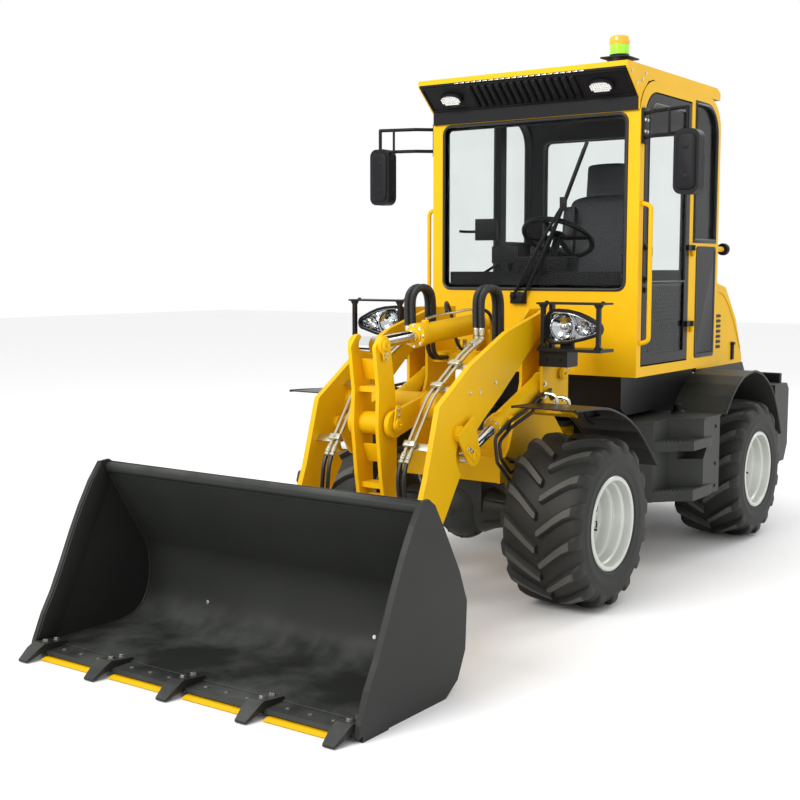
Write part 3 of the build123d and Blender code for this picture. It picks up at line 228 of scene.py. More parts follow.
def build_weathering():
    """Group: a colour broken up by broad tone, fine grain and dust on faces that look up; on the
    bucket this lightening of upward faces is also a painted highlight.
    """
    group = bpy.data.node_groups.new("Weathering", "ShaderNodeTree")
    for label, kind, default in (
        ("Colour", "NodeSocketColor", (0.5, 0.5, 0.5, 1)),
        ("DustAndSheen Colour", "NodeSocketColor", (0.3, 0.26, 0.2, 1)),
        ("Dust", "NodeSocketFloat", 0.1), ("Tone", "NodeSocketFloat", 0.1),
        ("Roughness", "NodeSocketFloat", 0.4), ("Grain Scale", "NodeSocketFloat", 300.0),
    ):
        socket = group.interface.new_socket(name=label, in_out="INPUT", socket_type=kind)
        socket.default_value = default
    for label, kind in (("Colour", "NodeSocketColor"), ("Roughness", "NodeSocketFloat"),
                        ("Height", "NodeSocketFloat")):
        group.interface.new_socket(name=label, in_out="OUTPUT", socket_type=kind)
    given = group.nodes.new("NodeGroupInput").outputs
    end = group.nodes.new("NodeGroupOutput")
    broad = noise(group, 2.3, 5.0, 0.6)
    fine = noise(group, given["Grain Scale"], 3.0)
    normal = node(group, "NewGeometry").outputs["Normal"]
    upward = node(group, "SeparateXYZ", {"Vector": normal}).outputs["Z"]
    # Faces that look up move towards the dust colour: dust, and on the bucket also a painted
    # highlight.
    cover = maths(group, "MULTIPLY", spread(group, upward, 0.2, 1.0),
                  spread(group, broad, 0.42, 0.68))
    dust = maths(group, "MULTIPLY", cover, given["Dust"])
    tone = maths(group, "MULTIPLY_ADD", spread(group, broad, 0.3, 0.7, -0.5, 0.5),
                 given["Tone"], 1.0)
    shaded = node(group, "VectorMath", {0: given["Colour"], "Scale": tone},
                  operation="SCALE").outputs[0]
    rough = maths(group, "ADD", given["Roughness"], spread(group, fine, 0.0, 1.0, -0.06, 0.06))
    group.links.new(mixed(group, dust, shaded, given["DustAndSheen Colour"]), end.inputs["Colour"])
    group.links.new(maths(group, "MULTIPLY_ADD", dust, 0.5, rough), end.inputs["Roughness"])
    group.links.new(fine, end.inputs["Height"])
    return group


def weathered(name, colour, roughness=0.4, metallic=0.0, dust=0.1, tone=0.15, grain=300.0,
              bump=0.02, coat=0.0, dust_colour=(0.3, 0.26, 0.2), specular=0.5):
    """A material on the Weathering group."""
    group = bpy.data.node_groups.get("Weathering") or build_weathering()
    material = bpy.data.materials.new(name)
    material.use_nodes = True
    tree = material.node_tree
    shader = tree.nodes["Principled BSDF"].inputs
    for key, value in (("Metallic", metallic), ("Coat Weight", coat), ("Coat Roughness", 0.12),
                       ("Specular IOR Level", specular)):
        shader[key].default_value = value
    wear = node(tree, "Group", node_tree=group)
    for key, value in (("Colour", (*colour, 1)), ("DustAndSheen Colour", (*dust_colour, 1)), ("Dust", dust),
                       ("Tone", tone), ("Roughness", roughness), ("Grain Scale", grain)):
        wear.inputs[key].default_value = value
    raised = node(tree, "Bump", {"Height": wear.outputs["Height"], "Strength": bump,
                                 "Distance": 0.002})
    tree.links.new(wear.outputs["Colour"], shader["Base Color"])
    tree.links.new(wear.outputs["Roughness"], shader["Roughness"])
    tree.links.new(raised.outputs["Normal"], shader["Normal"])
    return material


def clear(name, colour, roughness=0.02):
    """A clear glass or lens, slightly tinted and smeared."""
    material = bpy.data.materials.new(name)
    material.use_nodes = True
    tree = material.node_tree
    shader = tree.nodes["Principled BSDF"].inputs
    shader["Transmission Weight"].default_value = 1.0
    shader["IOR"].default_value = 1.12
    haze = noise(tree, 6.0, 3.0)
    darker = [0.94 * part for part in colour]
    tree.links.new(mixed(tree, haze, (*colour, 1), (*darker, 1)), shader["Base Color"])
    tree.links.new(spread(tree, haze, 0.45, 0.8, roughness, roughness + 0.05),
                   shader["Roughness"])
    return material


def shaded_inside(name, colour, low, high, **wear):
    """A paint with painted shade: near black on the faces inside a box, a cab's room and its door
    frames, for the shade inside the cab.
    """
    material = weathered(name, colour, **wear)
    tree = material.node_tree
    group = next(item for item in tree.nodes if item.type == "GROUP")
    place = node(tree, "TexCoord").outputs["Object"]
    middle = (at(*low) + at(*high)) / 2
    half = (at(*high) - at(*low)) / 2
    reach = vectors(tree, "ABSOLUTE", vectors(tree, "SUBTRACT", place, tuple(middle)))
    room = vectors(tree, "SUBTRACT", tuple(half), reach)
    axes = node(tree, "SeparateXYZ", {"Vector": room}).outputs
    least = maths(tree, "MINIMUM", maths(tree, "MINIMUM", axes["X"], axes["Y"]), axes["Z"])
    inside = maths(tree, "GREATER_THAN", least, 0.0)
    # Painted shade: the faces inside the box take a near-black colour in place of the paint.
    tree.links.new(mixed(tree, inside, (*colour, 1), (0.013, 0.012, 0.015, 1)),
                   group.inputs["Colour"])
    return material


class Finish:
    """A finish: the record's slot, and the material that it makes when it is first asked.

    Its colour is the name of one of the panel's paints, or a colour of its own."""

    def __init__(self, slot, name, colour, make=weathered, **values):
        self.slot = slot
        self.name = name
        self.colour = colour
        self.make = make
        self.values = values

    def material(self):
        found = bpy.data.materials.get(self.name)
        if found:
            return found
        colour = self.colour
        if isinstance(colour, str):
            colour = tuple(getattr(bpy.context.scene.loader_paints, colour))
        return self.make(self.name, colour, **self.values)


BODY_WEAR = {"roughness": 0.45, "tone": 0.1, "dust": 0.03, "grain": 420.0, "specular": 0.2}
LENS_WEAR = {"roughness": 0.15, "tone": 0.1, "dust": 0.0, "coat": 0.6}

yellow = Finish("yellow_paint", "YellowPaint", "body", **BODY_WEAR)
# The cab's and the roof's paint carry painted shade: near black on their faces inside the cab.
cab_paint_shaded_inside = Finish("yellow_paint", "CabPaintShadedInside", "body", shaded_inside, low=(-1.672, -0.5965, 1.003),
                   high=(-0.6025, 0.5965, 2.46), **BODY_WEAR)
roof_paint_shaded_inside = Finish("yellow_paint", "RoofPaintShadedInside", "body", shaded_inside, low=(-1.637, -0.592, 2.2),
                    high=(-0.6025, 0.592, 2.46), **BODY_WEAR)
# On the bucket, the dust on faces that look up is partly real dust and partly a painted highlight
# that lightens its floor.
bucket_grey = Finish("dark_paint", "BucketPaint", "bucket", roughness=0.42, tone=0.25, dust=0.4,
                     dust_colour=(0.17, 0.176, 0.163), specular=0.2)
chassis_grey = Finish("grey_paint", "ChassisPaint", "chassis", roughness=0.45, tone=0.2,
                      dust=0.12, specular=0.2)
silver = Finish("silver_rim", "RimSilver", "rim", roughness=0.36, metallic=0.6, tone=0.12,
                dust=0.05)
black_plastic = Finish("black_trim", "BlackPlastic", (0.008, 0.008, 0.0095), roughness=0.5,
                       tone=0.2, dust=0.02, grain=900.0, bump=0.05, specular=0.18)
black_paint = Finish("black_trim", "BlackPaint", (0.008, 0.008, 0.009), roughness=0.35,
                     dust=0.03, coat=0.05, grain=420.0, specular=0.2)
rubber = Finish("tyre", "TyreRubber", (0.014, 0.0145, 0.013), roughness=0.62, tone=0.4, dust=0.08,
                grain=160.0, bump=0.12, specular=0.4)
worn_rubber = Finish("tyre", "TreadTop", (0.062, 0.062, 0.055), roughness=0.66, tone=0.35,
                     dust=0.2, grain=220.0, bump=0.2)
hose_rubber = Finish("rubber_hose", "HoseRubber", (0.012, 0.012, 0.012), dust=0.02, grain=1200.0,
                     bump=0.1)
chrome = Finish("chrome", "ChromeRod", (0.75, 0.76, 0.78), roughness=0.1, metallic=1.0, tone=0.05,
                dust=0.0, grain=700.0, bump=0.01)
reflector = Finish("chrome", "Reflector", (0.56, 0.57, 0.58), roughness=0.08, metallic=1.0,
                   tone=0.04, dust=0.0, grain=90.0, bump=0.05)
mirror_glass = Finish("chrome", "MirrorGlass", (0.85, 0.87, 0.88), roughness=0.03, metallic=1.0,
                      tone=0.02, dust=0.0, bump=0.0)
lamp_white = Finish("lamp", "LampWhite", (0.92, 0.93, 0.91), roughness=0.2, metallic=0.1,
                    tone=0.05, dust=0.0, coat=0.5)
zinc = Finish("steel", "ZincPlate", (0.66, 0.64, 0.5), roughness=0.28, metallic=1.0, tone=0.25,
              dust=0.02, grain=500.0)
bright_bolt = Finish("steel", "BrightBolt", (0.7, 0.69, 0.62), roughness=0.26, metallic=1.0,
                     tone=0.2, dust=0.02, grain=600.0)
steel = Finish("steel", "WornSteel", (0.3, 0.29, 0.28), metallic=0.9, tone=0.3)
vinyl = Finish("seat_vinyl", "SeatVinyl", (0.022, 0.021, 0.027), roughness=0.5, tone=0.2,
               dust=0.02, grain=700.0, bump=0.15)
cab_glass = Finish("glass", "CabGlass", (0.9, 0.93, 0.92), clear)
lens = Finish("glass", "LampLens", (0.97, 0.98, 0.99), clear)
amber = Finish("amber_lens", "AmberLens", (0.9, 0.42, 0.01), **LENS_WEAR)
lime = Finish("amber_lens", "LimeLens", (0.35, 0.85, 0.02), **LENS_WEAR)
red_lens = Finish("amber_lens", "RedLens", (0.6, 0.01, 0.01), **LENS_WEAR)

# The CAD nodes that take each finish.
NODE_FINISHES = {
    yellow: "front_frame boom bell_crank bucket_link lift_cylinder_barrel tilt_cylinder_barrel "
            "quick_hitch edge_blades engine_hood",
    cab_paint_shaded_inside: "cab_shell",
    roof_paint_shaded_inside: "roof",
    bucket_grey: "bucket_shell cutting_edge bucket_teeth",
    chassis_grey: "rear_frame rear_fenders counterweight tanks rear_axle front_axle "
                  "steer_barrel_left steer_barrel_right",
    black_plastic: "visor work_lights steering_console mirrors headlights",
    black_paint: "cab_base front_fenders light_guards door_frame",
    chrome: "lift_cylinder_rod tilt_cylinder_rod steer_rod_left steer_rod_right",
    cab_glass: "cab_glass door_glass",
    steel: "engine_block",
    vinyl: "seat",
    amber: "beacon",
    zinc: "boom_pipes",
    hose_rubber: "hoses",
    rubber: "tyre_front_left tyre_front_right tyre_rear_left tyre_rear_right",
    silver: "rim_front_left rim_front_right rim_rear_left rim_rear_right",
}


# ---- modelling -------------------------------------------------------------------------


def alone(piece):
    """Select this piece and nothing else."""
    bpy.ops.object.select_all(action="DESELECT")
    piece.select_set(True)
    bpy.context.view_layer.objects.active = piece


@contextmanager
def editing(piece):
    """Edit mode on this piece alone, with all of it selected."""
    alone(piece)
    bpy.ops.object.mode_set(mode="EDIT")
    bpy.ops.mesh.select_all(action="SELECT")
    yield
    bpy.ops.object.mode_set(mode="OBJECT")


def select_faces(piece, wanted):
    """Select the faces whose normal a test picks, in edit mode."""
    mesh = bmesh.from_edit_mesh(piece.data)
    bpy.ops.mesh.select_all(action="DESELECT")
    for face in mesh.faces:
        if wanted(face.normal):
            face.select = True
    mesh.select_flush_mode()
    bmesh.update_edit_mesh(piece.data)


def inset_top(piece, *steps):
    """Inset the faces that look up, once for each (width, rise)."""
    with editing(piece):
        select_faces(piece, lambda normal: normal.z > 0.9)
        for width, rise in steps:
            bpy.ops.mesh.inset(thickness=width, depth=rise)


def extrude(x, y, z):
    bpy.ops.mesh.extrude_region_move(TRANSFORM_OT_translate={"value": (x, y, z)})


def added(name, operator, **settings):
    """The object that an operator adds, with nothing else selected, and its name."""
    bpy.ops.object.select_all(action="DESELECT")
    operator(**settings)
    bpy.context.object.name = name
    return bpy.context.object


def face_of(name, corners):
    """A flat face with its corners at these points, which is then extruded."""
    piece = added(name, bpy.ops.mesh.primitive_circle_add, vertices=len(corners),
                  fill_type="NGON")
    for vertex, corner in zip(piece.data.vertices, corners):
        vertex.co = corner
    return piece


def placed(piece, place):
    """The piece, moved by a placement if there is one."""
    if place is not None:
        piece.data.transform(place)
    return piece


def block(name, size, centre=(0, 0, 0), field=None):
    """A rectangular block; a field on its top is inset by a width and raised or sunk."""
    piece = added(name, bpy.ops.mesh.primitive_cube_add, size=1, location=centre, scale=size)
    bpy.ops.object.transform_apply(location=True, rotation=True, scale=True)
    if field:
        inset_top(piece, field)
    return piece


def plate(name, outline, thickness, place=None, border=0.0):
    """A flat plate: an outline extruded up by its thickness. With a border it is a frame."""
    piece = face_of(name, [(across, up, 0) for across, up in outline])
    with editing(piece):
        if border:
            bpy.ops.mesh.inset(thickness=border, depth=0.0)
            bpy.ops.mesh.delete(type="FACE")
            bpy.ops.mesh.select_all(action="SELECT")
        extrude(0, 0, thickness)
    return placed(piece, place)


def turned(name, steps, segments=32, place=None, ring=False):
    """A piece turned about Z: each step is (radius, height), extruded and resized in turn.

    A ring's steps end where they begin, and it has no end faces."""
    radius, height = steps[0]
    piece = added(name, bpy.ops.mesh.primitive_circle_add, vertices=segments, radius=radius,
                  location=(0, 0, height), fill_type="NOTHING" if ring else "NGON")
    bpy.ops.object.transform_apply(location=True, rotation=False, scale=False)
    with editing(piece):
        for next_radius, next_height in steps[1:]:
            extrude(0, 0, next_height - height)
            scale = next_radius / radius
            bpy.ops.transform.resize(value=(scale, scale, 1), center_override=(0, 0, next_height))
            radius, height = next_radius, next_height
    return placed(piece, place)


def guide_line(name, points, kind="NURBS"):
    """A curve that is pulled round by its points, or a straight one from point to point."""
    curve = bpy.data.curves.new(name, "CURVE")
    curve.dimensions = "3D"
    line = curve.splines.new(kind)
    line.points.add(len(points) - 1)
    for spot, place in zip(line.points, points):
        spot.co = (*place, 1)
    line.order_u = 3
    line.use_endpoint_u = True
    guide = bpy.data.objects.new(name, curve)
    bpy.context.scene.collection.objects.link(guide)
    return guide


def filled_out(guide, radius, rings):
    """A curve made a round solid."""
    guide.data.bevel_depth = radius
    guide.data.bevel_resolution = max(1, rings // 4)
    alone(guide)
    bpy.ops.object.convert(target="MESH")
    return bpy.context.object


def tube(name, points, radius, steps=6, rings=8, place=None):
    """A round tube along a smooth line round its points, which are measured from the axle."""
    points = [at(*point) if place is None else place @ Vector(point) for point in points]
    guide = guide_line(name, points)
    guide.data.resolution_u = steps
    guide.data.render_resolution_u = steps
    guide.data.use_fill_caps = True
    return filled_out(guide, radius, rings)


def seal(name, outline, radius, place):
    """A closed rubber lip along an outline."""
    guide = guide_line(name, [place @ Vector((across, up, 0)) for across, up in outline], "POLY")
    guide.data.splines[0].use_cyclic_u = True
    return filled_out(guide, radius, 8)


def sleeve(name, points, radius, pitch):
    """A ribbed sleeve round a hose: one rib, repeated and bent along the hose's line."""
    low = radius * 0.86
    rib = turned(name, [(low, 0), (radius, pitch * 0.3), (radius, pitch * 0.7), (low, pitch)],
                 12)
    with editing(rib):
        select_faces(rib, lambda normal: abs(normal.z) > 0.9)
        bpy.ops.mesh.delete(type="FACE")
    rib.data.transform(spun(90, "Y"))
    guide = guide_line(name + "_line", [at(*point) for point in points])
    repeat = rib.modifiers.new("Repeat", "ARRAY")
    repeat.count = max(1, int(guide.data.splines[0].calc_length() / pitch))
    repeat.relative_offset_displace = (1, 0, 0)
    repeat.use_merge_vertices = True
    bend = rib.modifiers.new("Bend", "CURVE")
    bend.object = guide
    bpy.context.view_layer.objects.active = rib
    bpy.ops.object.modifier_apply(modifier="Repeat")
    bpy.ops.object.modifier_apply(modifier="Bend")
    bpy.data.objects.remove(guide)
    return rib


def copied(pattern, place, name=None):
    """A copy of a pattern with its own mesh, moved by a placement."""
    twin = pattern.copy()
    twin.data = pattern.data.copy()
    twin.name = name or pattern.name
    twin.data.transform(place)
    if place.determinant() < 0:
        twin.data.flip_normals()
    bpy.context.scene.collection.objects.link(twin)
    return twin


def joined(pieces, name):
    """Several loose pieces made one."""
    alone(pieces[0])
    for piece in pieces[1:]:
        piece.select_set(True)
    if len(pieces) > 1:
        bpy.ops.object.join()
    pieces[0].name = name
    return pieces[0]


def repeated(pattern, places, name):
    """One piece made of a pattern's copies at each placement; the pattern itself goes."""
    made = joined([copied(pattern, place) for place in places], name)
    bpy.data.objects.remove(pattern)
    return made


def settle(pieces, body, finish, name=None, place=None, both=False, bevel=0.0, segments=2,
           smooth=35.0):
    """Make pieces one, with their twins where both sides have them, and hang it on a body.

    Its edges are rounded, its faces smoothed up to an angle, and it takes its finish."""
    pieces = pieces if isinstance(pieces, list) else [pieces]
    for piece in pieces:
        placed(piece, place)
    if both:
        pieces = pieces + [copied(piece, MIRRORED) for piece in pieces]
    piece = joined(pieces, name or pieces[0].name)
    with editing(piece):
        bpy.ops.mesh.remove_doubles(threshold=MERGE_DISTANCE)
        bpy.ops.mesh.normals_make_consistent(inside=False)
    if bevel:
        rounding = piece.modifiers.new("Round", "BEVEL")
        rounding.width = bevel
        rounding.segments = segments
        rounding.limit_method = "ANGLE"
        rounding.angle_limit = EDGE_ANGLE
        bpy.ops.object.modifier_apply(modifier="Round")
    bpy.ops.object.shade_smooth_by_angle(angle=math.radians(smooth))
    if finish is not None:
        piece.data.materials.clear()
        piece.data.materials.append(finish.material())
    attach(piece, body)
    return piece


def bolted(name, body, places, size=(0.018, 0.007, 0.012), finish=bright_bolt, both=False):
    """Hexagon bolts on their washers at (place, outward) pairs, as one piece.

    Their size is (width across the head, height, washer's radius)."""
    across, height, washer = size
    if both:
        places = places + on_the_right(places)
    bolt = joined([
        turned("washer", [(washer, 0), (washer, 0.002)], 20),
        turned("head", [(across / 2, 0.002), (across / 2, height * 0.85),
                        (across * 0.44, height)], 6),
    ], "hex_bolt")
    made = repeated(bolt, [standing(place, outward, BOLT_TURN * index)
                           for index, (place, outward) in enumerate(places)], name)
    return settle(made, body, finish, smooth=25)


def arc_points(centre, radius, start, end, count):
    """Points on an arc in a plane, from a start to an end angle in degrees."""
    angles = [math.radians(start + (end - start) * index / (count - 1)) for index in range(count)]
    return [(centre[0] + radius * math.cos(angle), centre[1] + radius * math.sin(angle))
            for angle in angles]


def rounded(low_u, high_u, low_v, high_v, radius):
    """A rounded rectangle's outline."""
    left, right, low, high = low_u + radius, high_u - radius, low_v + radius, high_v - radius
    points = []
    for u, v, start in ((right, high, 0), (left, high, 90), (left, low, 180), (right, low, 270)):
        points += arc_points((u, v), radius, start, start + 90, 5)
    return points


# ---- operators -------------------------------------------------------------------------


class LOADER_OT_stage(bpy.types.Operator):
    """Floor, soft lights and the camera"""

    bl_idname = "loader.stage"
    bl_label = "Stage"

    def execute(self, context):
        floor = added("floor", bpy.ops.mesh.primitive_plane_add, size=60)
        floor.data.materials.append(weathered("StudioFloor", (0.9, 0.9, 0.9), roughness=0.8,
                                              tone=0.01, dust=0.0, bump=0.0))
        world = bpy.data.worlds.new("Studio")
        world.use_nodes = True
        sky = world.node_tree.nodes["Background"].inputs
        sky["Color"].default_value = (1, 1, 1, 1)
        sky["Strength"].default_value = 1.0
        context.scene.world = world
        context.scene.view_settings.view_transform = "Standard"
        middle = Vector((0.2, 0, 0.9))
        for name, place, size, power in (
            ("key", (9.0, -1.5, 6.5), 4.0, 690.0),
            ("fill", (3.0, 9.0, 4.5), 6.0, 20.0),
            ("back", (-7.0, 2.0, 6.5), 5.0, 190.0),
        ):
            light = added(name, bpy.ops.object.light_add, type="AREA", location=place)
            light.data.size = size
            light.data.energy = power
            light.rotation_euler = (middle - Vector(place)).to_track_quat("-Z", "Y").to_euler()
        view = context.scene.loader_camera
        camera = added("camera", bpy.ops.object.camera_add, location=tuple(view.place))
        aim = Vector((-math.cos(view.yaw) * math.cos(view.pitch),
                      -math.sin(view.yaw) * math.cos(view.pitch), -math.sin(view.pitch)))
        camera.rotation_euler = aim.to_track_quat("-Z", "Y").to_euler()
        camera.data.lens = view.lens
        camera.data.sensor_width = 36.0
        context.scene.camera = camera
        return {"FINISHED"}


class LOADER_OT_finishes(bpy.types.Operator):
    """Paint, rubber, glass and chrome on the CAD nodes"""

    bl_idname = "loader.finishes"
    bl_label = "Finishes"

    def execute(self, context):
        finishes = {name: finish for finish, names in NODE_FINISHES.items()
                    for name in names.split()}
        for name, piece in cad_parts.items():
            piece.data.materials.clear()
            piece.data.materials.append(finishes[name].material())
        return {"FINISHED"}


# Each wheel's axle, from the front one, and its side.
WHEELS = {
    "front_left": (0.0, 1), "front_right": (0.0, -1),
    "rear_left": (-WHEELBASE, 1), "rear_right": (-WHEELBASE, -1),
}
# Half of the tyre's section from the bead to the crown: radius, distance from its mid-plane.
TYRE_SECTION = (
    (0.199, 0.168), (0.208, 0.181), (0.222, 0.186), (0.23, 0.1915), (0.237, 0.1885),
    (0.262, 0.1935), (0.286, 0.197), (0.292, 0.1945), (0.312, 0.196), (0.33, 0.1925),
    (0.346, 0.184), (0.358, 0.166), (0.364, 0.13), (0.367, 0.075), (0.368, 0.02),
)
# A lug's stations: distance from the mid-plane, advance along the tread, half width, top, foot.
LUG_STATIONS = (
    (0.004, 0.0, 0.0135, 0.3925, 0.364), (0.014, 0.004, 0.0185, 0.3932, 0.364),
    (0.050, 0.033, 0.0195, 0.3932, 0.364), (0.090, 0.066, 0.0205, 0.392, 0.362),
    (0.128, 0.094, 0.022, 0.389, 0.359), (0.158, 0.110, 0.0245, 0.384, 0.352),
    (0.178, 0.118, 0.027, 0.376, 0.342), (0.190, 0.122, 0.029, 0.362, 0.330),
    (0.1945, 0.124, 0.030, 0.344, 0.316),
)
TREAD_RADIUS = 0.38
SHOULDER = 0.165


class LOADER_OT_tyres(bpy.types.Operator):
    """Tyres with their rounded sidewalls and chevron lugs, in place of the plain ones"""

    bl_idname = "loader.tyres"
    bl_label = "Tyres"

    def execute(self, context):
        profile = list(TYRE_SECTION) + [(radius, -y) for radius, y in reversed(TYRE_SECTION)]
        carcass = turned("carcass", profile + profile[:1], 96, spun(-90, "X"), ring=True)
        lug = self.lug()
        for piece in (carcass, lug):
            piece.data.materials.append(rubber.material())
            piece.data.materials.append(worn_rubber.material())
        for face in lug.data.polygons:
            if face.normal.z > 0.9 and face.center.y < SHOULDER:
                face.material_index = 1
        treads = []
        count = context.scene.loader_sizes.lugs
        for hand, stagger in ((1, 0.0), (-1, 0.5)):
            for index in range(count):
                turn = 2 * math.pi * (index + stagger) / count
                tread = copied(lug, Matrix.Identity(4))
                for vertex in tread.data.vertices:
                    along, across, radius = vertex.co
                    angle = turn + along / TREAD_RADIUS
                    vertex.co = (radius * math.cos(angle), hand * across, radius * math.sin(angle))
                treads.append(tread)
        bpy.data.objects.remove(lug)
        pattern = joined([carcass] + treads, "tyre")
        for name, (axle_x, side) in WHEELS.items():
            place = put(axle_x, side * WHEEL_Y, AXLE_Z) @ Matrix.Scale(side, 4, Y_AXIS)
            tyre = copied(pattern, place, f"tyre_{name}_dressed")
            settle(tyre, f"wheel_{name}", None, smooth=38)
            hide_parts(f"tyre_{name}")
        bpy.data.objects.remove(pattern)
        return {"FINISHED"}

    def lug(self):
        """One lug on a flat tread: x along it, y across it, z its radius."""
        across, start, half, top, foot = LUG_STATIONS[0]
        section = [(-half - 0.007, foot), (-half - 0.001, top - 0.005), (-half + 0.003, top),
                   (half - 0.003, top), (half + 0.001, top - 0.005), (half + 0.007, foot)]
        lug = face_of("lug", [(start + along, across, radius) for along, radius in section])
        with editing(lug):
            for before, after in zip(LUG_STATIONS, LUG_STATIONS[1:]):
                extrude(after[1] - before[1], after[0] - before[0], after[3] - before[3])
                taller = (after[3] - after[4]) / (before[3] - before[4])
                bpy.ops.transform.resize(value=(after[2] / before[2], 1, taller),
                                         center_override=(after[1], after[0], after[3]))
            bpy.ops.mesh.select_all(action="SELECT")
            bpy.ops.mesh.normals_make_consistent(inside=False)
        return lug


# A rim's section, barrel and disc in one: radius, distance outward from its mid-plane.
RIM_SECTION = (
    (0.045, 0.05), (0.045, 0.060), (0.078, 0.060), (0.082, 0.056), (0.082, 0.050),
    (0.140, 0.044), (0.150, 0.048), (0.1555, 0.060), (0.159, 0.094), (0.164, 0.101),
    (0.1725, 0.104), (0.1755, 0.110), (0.1785, 0.138), (0.183, 0.146), (0.1885, 0.150),
    (0.1905, 0.156), (0.192, 0.178), (0.196, 0.1875), (0.204, 0.1895), (0.2125, 0.188),
    (0.2175, 0.183), (0.2175, 0.180), (0.206, 0.179), (0.1975, 0.172), (0.1975, 0.05),
    (0.1975, -0.16), (0.206, -0.179), (0.2175, -0.181), (0.2175, -0.186),
    (0.204, -0.1895), (0.196, -0.186), (0.19, -0.15), (0.18, -0.03), (0.150, 0.02),
    (0.06, 0.03), (0.045, 0.05),
)


class LOADER_OT_rims(bpy.types.Operator):
    """Rims: stepped wells, disc, hub with nuts, valve, and black discs of painted shade where the
    hand holes are
    """

    bl_idname = "loader.rims"
    bl_label = "Rims"

    def execute(self, context):
        shape = turned("rim_body", RIM_SECTION, 96, ring=True)
        hub = turned("hub", [(0.05, 0.046), (0.05, 0.064), (0.047, 0.069), (0.03, 0.070),
                             (0.028, 0.066), (0.008, 0.066)], 48)
        nut = joined([
            turned("seat", [(0.0135, 0.052), (0.0135, 0.056)], 20),
            turned("nut", [(0.0115, 0.056), (0.0115, 0.068), (0.0095, 0.071)], 6),
            turned("stud", [(0.006, 0.071), (0.006, 0.078), (0.005, 0.080)], 12),
        ], "nut")
        fittings = joined([hub, repeated(nut, round_about(8, 0.066), "nuts")], "rim_nuts")
        # The hand holes are not cut through: black discs on the rim's disc are painted shade for the
        # dark inside of the wheel.
        hole_shade = turned("hole_shade", [(0.016, 0.0475), (0.016, 0.0495), (0.0125, 0.0497),
                               (0.0115, 0.0455)], 24, Matrix.Scale(1.5, 4, Y_AXIS))
        hole_shades = repeated(hole_shade, round_about(8, 0.113, -0.001, start=0.5), "rim_hole_shades")
        valve = turned("valve", [(0.006, 0.0), (0.006, 0.012), (0.004, 0.014), (0.004, 0.034),
                                 (0.0055, 0.035), (0.0055, 0.042), (0.004, 0.044)], 12,
                       moved(0.185, 0, 0.148) @ Matrix.Rotation(-0.5, 4, "Y"))
        for name, (axle_x, side) in WHEELS.items():
            place = put(axle_x, side * WHEEL_Y, AXLE_Z) @ spun(-90 * side, "X")
            wheel = f"wheel_{name}"
            rim = settle(copied(shape, place, f"rim_{name}_dressed"), wheel, silver, smooth=30)
            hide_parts(f"rim_{name}")
            settle(copied(fittings, place, f"wheel_nuts_{name}"), wheel, silver, smooth=30)
            settle(copied(hole_shades, place, f"hand_hole_shades_{name}"), wheel, black_plastic)
            settle(copied(valve, place, f"valve_{name}"), wheel, black_plastic)
        for pattern in (shape, fittings, hole_shades, valve):
            bpy.data.objects.remove(pattern)
        return {"FINISHED"}


def fittings_at(name, body, radius, places):
    """Hose ends as one piece: crimped ferrules with their hexagons, for a hose's radius."""
    rings = ((1.15, 0.0), (1.25, 0.003), (1.25, 0.010), (1.12, 0.012), (1.25, 0.014),
             (1.25, 0.022), (1.12, 0.024), (1.25, 0.026), (1.25, 0.034), (0.8, 0.036))
    hexagon = ((0.8, 0.036), (1.35, 0.038), (1.35, 0.052), (0.8, 0.054))
    ends = [turned("end", [(radius * factor, height) for factor, height in steps], segments)
            for steps, segments in ((rings, 16), (hexagon, 6))]
    return settle(repeated(joined(ends, "fitting"), places, name), body, zinc, smooth=30)


class LOADER_OT_boom_lines(bpy.types.Operator):
    """Steel pipes on the boom with their end fittings and clamps, and the hoses below them"""

    bl_idname = "loader.boom_lines"
    bl_label = "Boom lines"

    def execute(self, context):
        run = ((0.228, 1.208), (0.330, 1.163), (0.375, 1.140), (0.600, 0.998), (0.640, 0.960),
               (0.740, 0.825), (0.800, 0.745))
        pipes = settle([tube("boom_pipe_runs", [(x, y, z) for x, z in run], 0.008, rings=12)
                        for y in PIPE_YS], "boom", zinc, both=True)
        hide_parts("boom_pipes")
        fittings_at("pipe_fittings", "boom", 0.010, [
            standing(at(x, side, z), Vector(outward)) for y in PIPE_YS for side in (y, -y)
            for x, z, outward in ((0.230, 1.207, (0.102, 0, -0.045)),
                                  (0.788, 0.761, (0.06, 0, -0.08)))])
        # Hoses from the pipes' lower ends to the boom's foot.
        settle([tube("lower_hose", [
            (0.812, y, 0.729), (0.838, y, 0.690), (0.842, y + 0.004, 0.590),
            (0.832, y + 0.025, 0.490), (0.838 + foot, y + 0.060, 0.410), (0.870, 0.306, 0.345),
        ], 0.0095) for y, foot in zip(PIPE_YS, (0.0, 0.022))], "boom", hose_rubber, both=True)
        # Clamps: a block over both pipes, its bolt, and a strap below them from the boom's plate.
        clamps, bolts = [], []
        middle = sum(PIPE_YS) / 2
        for x, z, lean in ((0.420, 1.1116, 32.3), (0.560, 1.0232, 32.3), (0.765, 0.7915, 53.2)):
            place = put(x, 0, z) @ spun(lean, "Y")
            bar = block("pipe_clamps", (0.030, 0.058, 0.013), (0, middle, 0.011), (0.004, 0.002))
            strap = block("strap", (0.034, 0.140, 0.006), (0, 0.244, -0.011))
            clamps += [placed(bar, place), placed(strap, place)]
            bolts.append((place @ Vector((0, middle, 0.019)), place.to_3x3() @ Z_AXIS))
        settle(clamps, "boom", zinc, both=True, bevel=0.002)
        bolted("clamp_bolts", "boom", in_pairs(bolts), (0.012, 0.006, 0.008))
        return {"FINISHED"}


